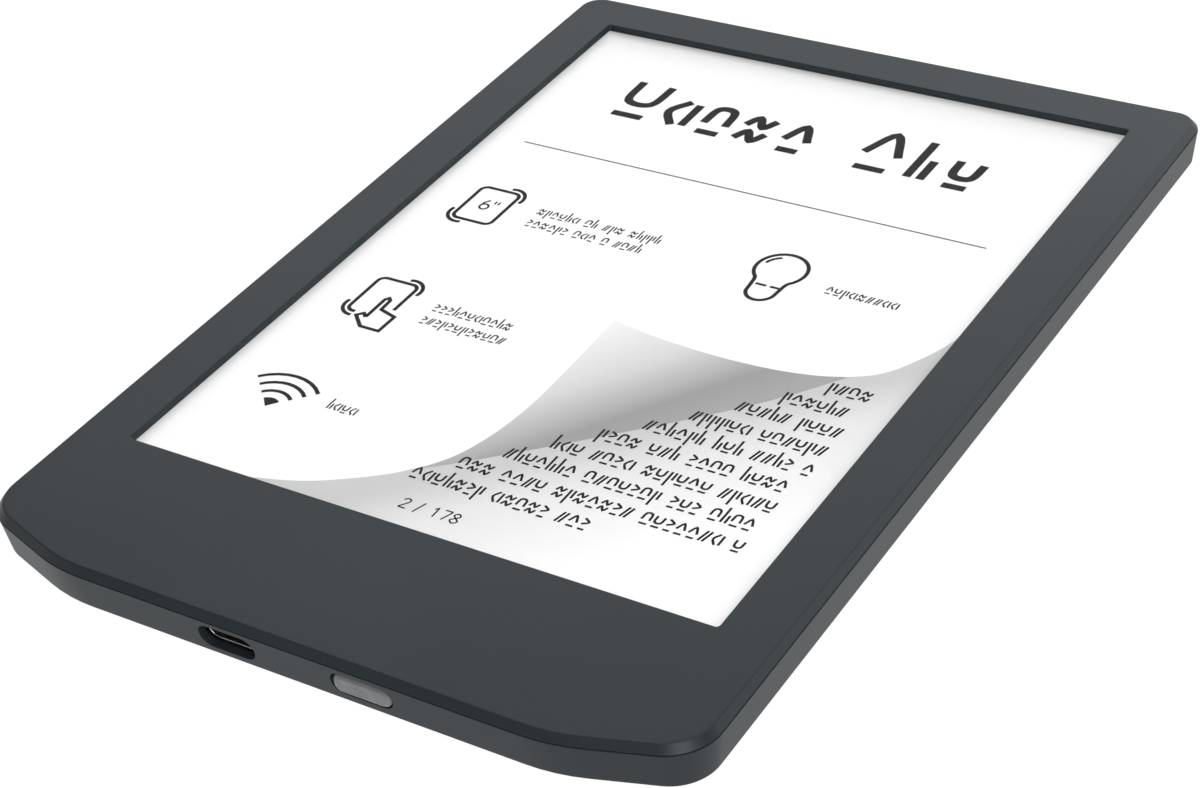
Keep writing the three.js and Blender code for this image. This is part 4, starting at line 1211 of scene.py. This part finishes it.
# A hair's breadth below the reader's back, in metres
FLOOR_DROP = 0.0001
# The floor glows, as a cut-out picture's white ground would, so hardly any shadow shows
FLOOR_GLOW = 0.97
# The floor's section, as radius and height in metres: flat, then a cove and a low wall
SWEEP_SECTION = [(2.6, 0.0), (2.85, 0.07), (2.97, 0.2), (3.0, 0.4), (3.0, 0.9)]
SWEEP_SIDES = 48


def white_floor():
    """A round floor that curves up into a low wall, so level views end in white too."""
    rings = []
    for radius, height in SWEEP_SECTION:
        for side in range(SWEEP_SIDES):
            angle = 2 * math.pi * side / SWEEP_SIDES
            rings.append((radius * math.cos(angle), radius * math.sin(angle), height - FLOOR_DROP))
    faces = [tuple(range(SWEEP_SIDES))]
    for ring in range(len(SWEEP_SECTION) - 1):
        for side in range(SWEEP_SIDES):
            here = ring * SWEEP_SIDES + side
            beside = ring * SWEEP_SIDES + (side + 1) % SWEEP_SIDES
            faces.append((here, here + SWEEP_SIDES, beside + SWEEP_SIDES, beside))
    data = bpy.data.meshes.new("floor")
    data.from_pydata(rings, [], faces)
    floor = bpy.data.objects.new("floor", data)
    bpy.context.scene.collection.objects.link(floor)
    finish = Finish("floor paper", specular=0.1)
    finish.colour(finish.noise(0.002), (0.080, 0.080, 0.080), (0.085, 0.085, 0.085))
    finish.rough(finish.noise(0.01), 0.8, 0.9)
    finish.shader.inputs["Emission Color"].default_value = (1, 1, 1, 1)
    finish.shader.inputs["Emission Strength"].default_value = FLOOR_GLOW
    data.materials.append(finish.material)


def soft_box(name, position, aim, size, power):
    data = bpy.data.lights.new(name, "AREA")
    data.shape = "RECTANGLE"
    data.size, data.size_y = size
    data.energy = power
    light = bpy.data.objects.new(name, data)
    light.location = position
    light.rotation_mode = "QUATERNION"
    light.rotation_quaternion = (Vector(aim) - Vector(position)).to_track_quat("-Z", "Y")
    bpy.context.scene.collection.objects.link(light)


# Each soft box: its name, where it hangs and its size in metres, and its power in watts.
# All of them face the reader.
SOFT_BOXES = [
    ("overhead", (0.0, 0.1, 1.7), (1.5, 1.5), 14),
    ("rear_left", (-0.95, 1.3, 1.15), (1.3, 0.9), 8.5),
    ("rear", (0.2, 1.8, 0.7), (1.6, 0.8), 12),
    ("rear_right", (1.2, 1.2, 0.65), (0.9, 0.6), 5),
    ("front_right", (1.2, -1.0, 1.4), (1.0, 1.0), 36),
]
WORLD_COLOUR = (0.95, 0.98, 1.0, 1)
WORLD_STRENGTH = 0.01


def studio():
    for name, position, size, power in SOFT_BOXES:
        soft_box(name, position, (0, 0, 0), size, power)
    world = bpy.data.worlds.new("studio")
    bpy.context.scene.world = world
    world.use_nodes = True
    background = world.node_tree.nodes["Background"]
    background.inputs["Color"].default_value = WORLD_COLOUR
    background.inputs["Strength"].default_value = WORLD_STRENGTH


# Lens in mm on a 36 mm wide sensor; places in mm in the CAD's frame
CAMERA_LENS = 80.118
CAMERA_SENSOR_WIDTH = 36
CAMERA_POSITION = (176.318, -252.335, 212.985)
CAMERA_AIM = (4.686, -14.721, 3.8)
CAMERA_ROLL_DEG = 7.08


def camera():
    """Looks at the aim from the position, turned about its own axis by the roll."""
    data = bpy.data.cameras.new("camera")
    data.lens = CAMERA_LENS
    data.sensor_width = CAMERA_SENSOR_WIDTH
    position = Vector(CAMERA_POSITION) * MM
    forward = (Vector(CAMERA_AIM) * MM - position).normalized()
    level = forward.cross(Vector((0, 0, 1))).normalized()
    upright = level.cross(forward)
    roll = math.radians(CAMERA_ROLL_DEG)
    up = upright * math.cos(roll) + level * math.sin(roll)
    right = level * math.cos(roll) - upright * math.sin(roll)
    turn = Matrix((right, up, -forward)).transposed()
    shot = bpy.data.objects.new("camera", data)
    shot.matrix_world = Matrix.Translation(position) @ turn.to_4x4()
    data.clip_start = 0.01
    data.clip_end = 20
    bpy.context.scene.collection.objects.link(shot)
    bpy.context.scene.camera = shot


white_floor()
studio()
camera()
bpy.context.scene.view_settings.view_transform = "Standard"
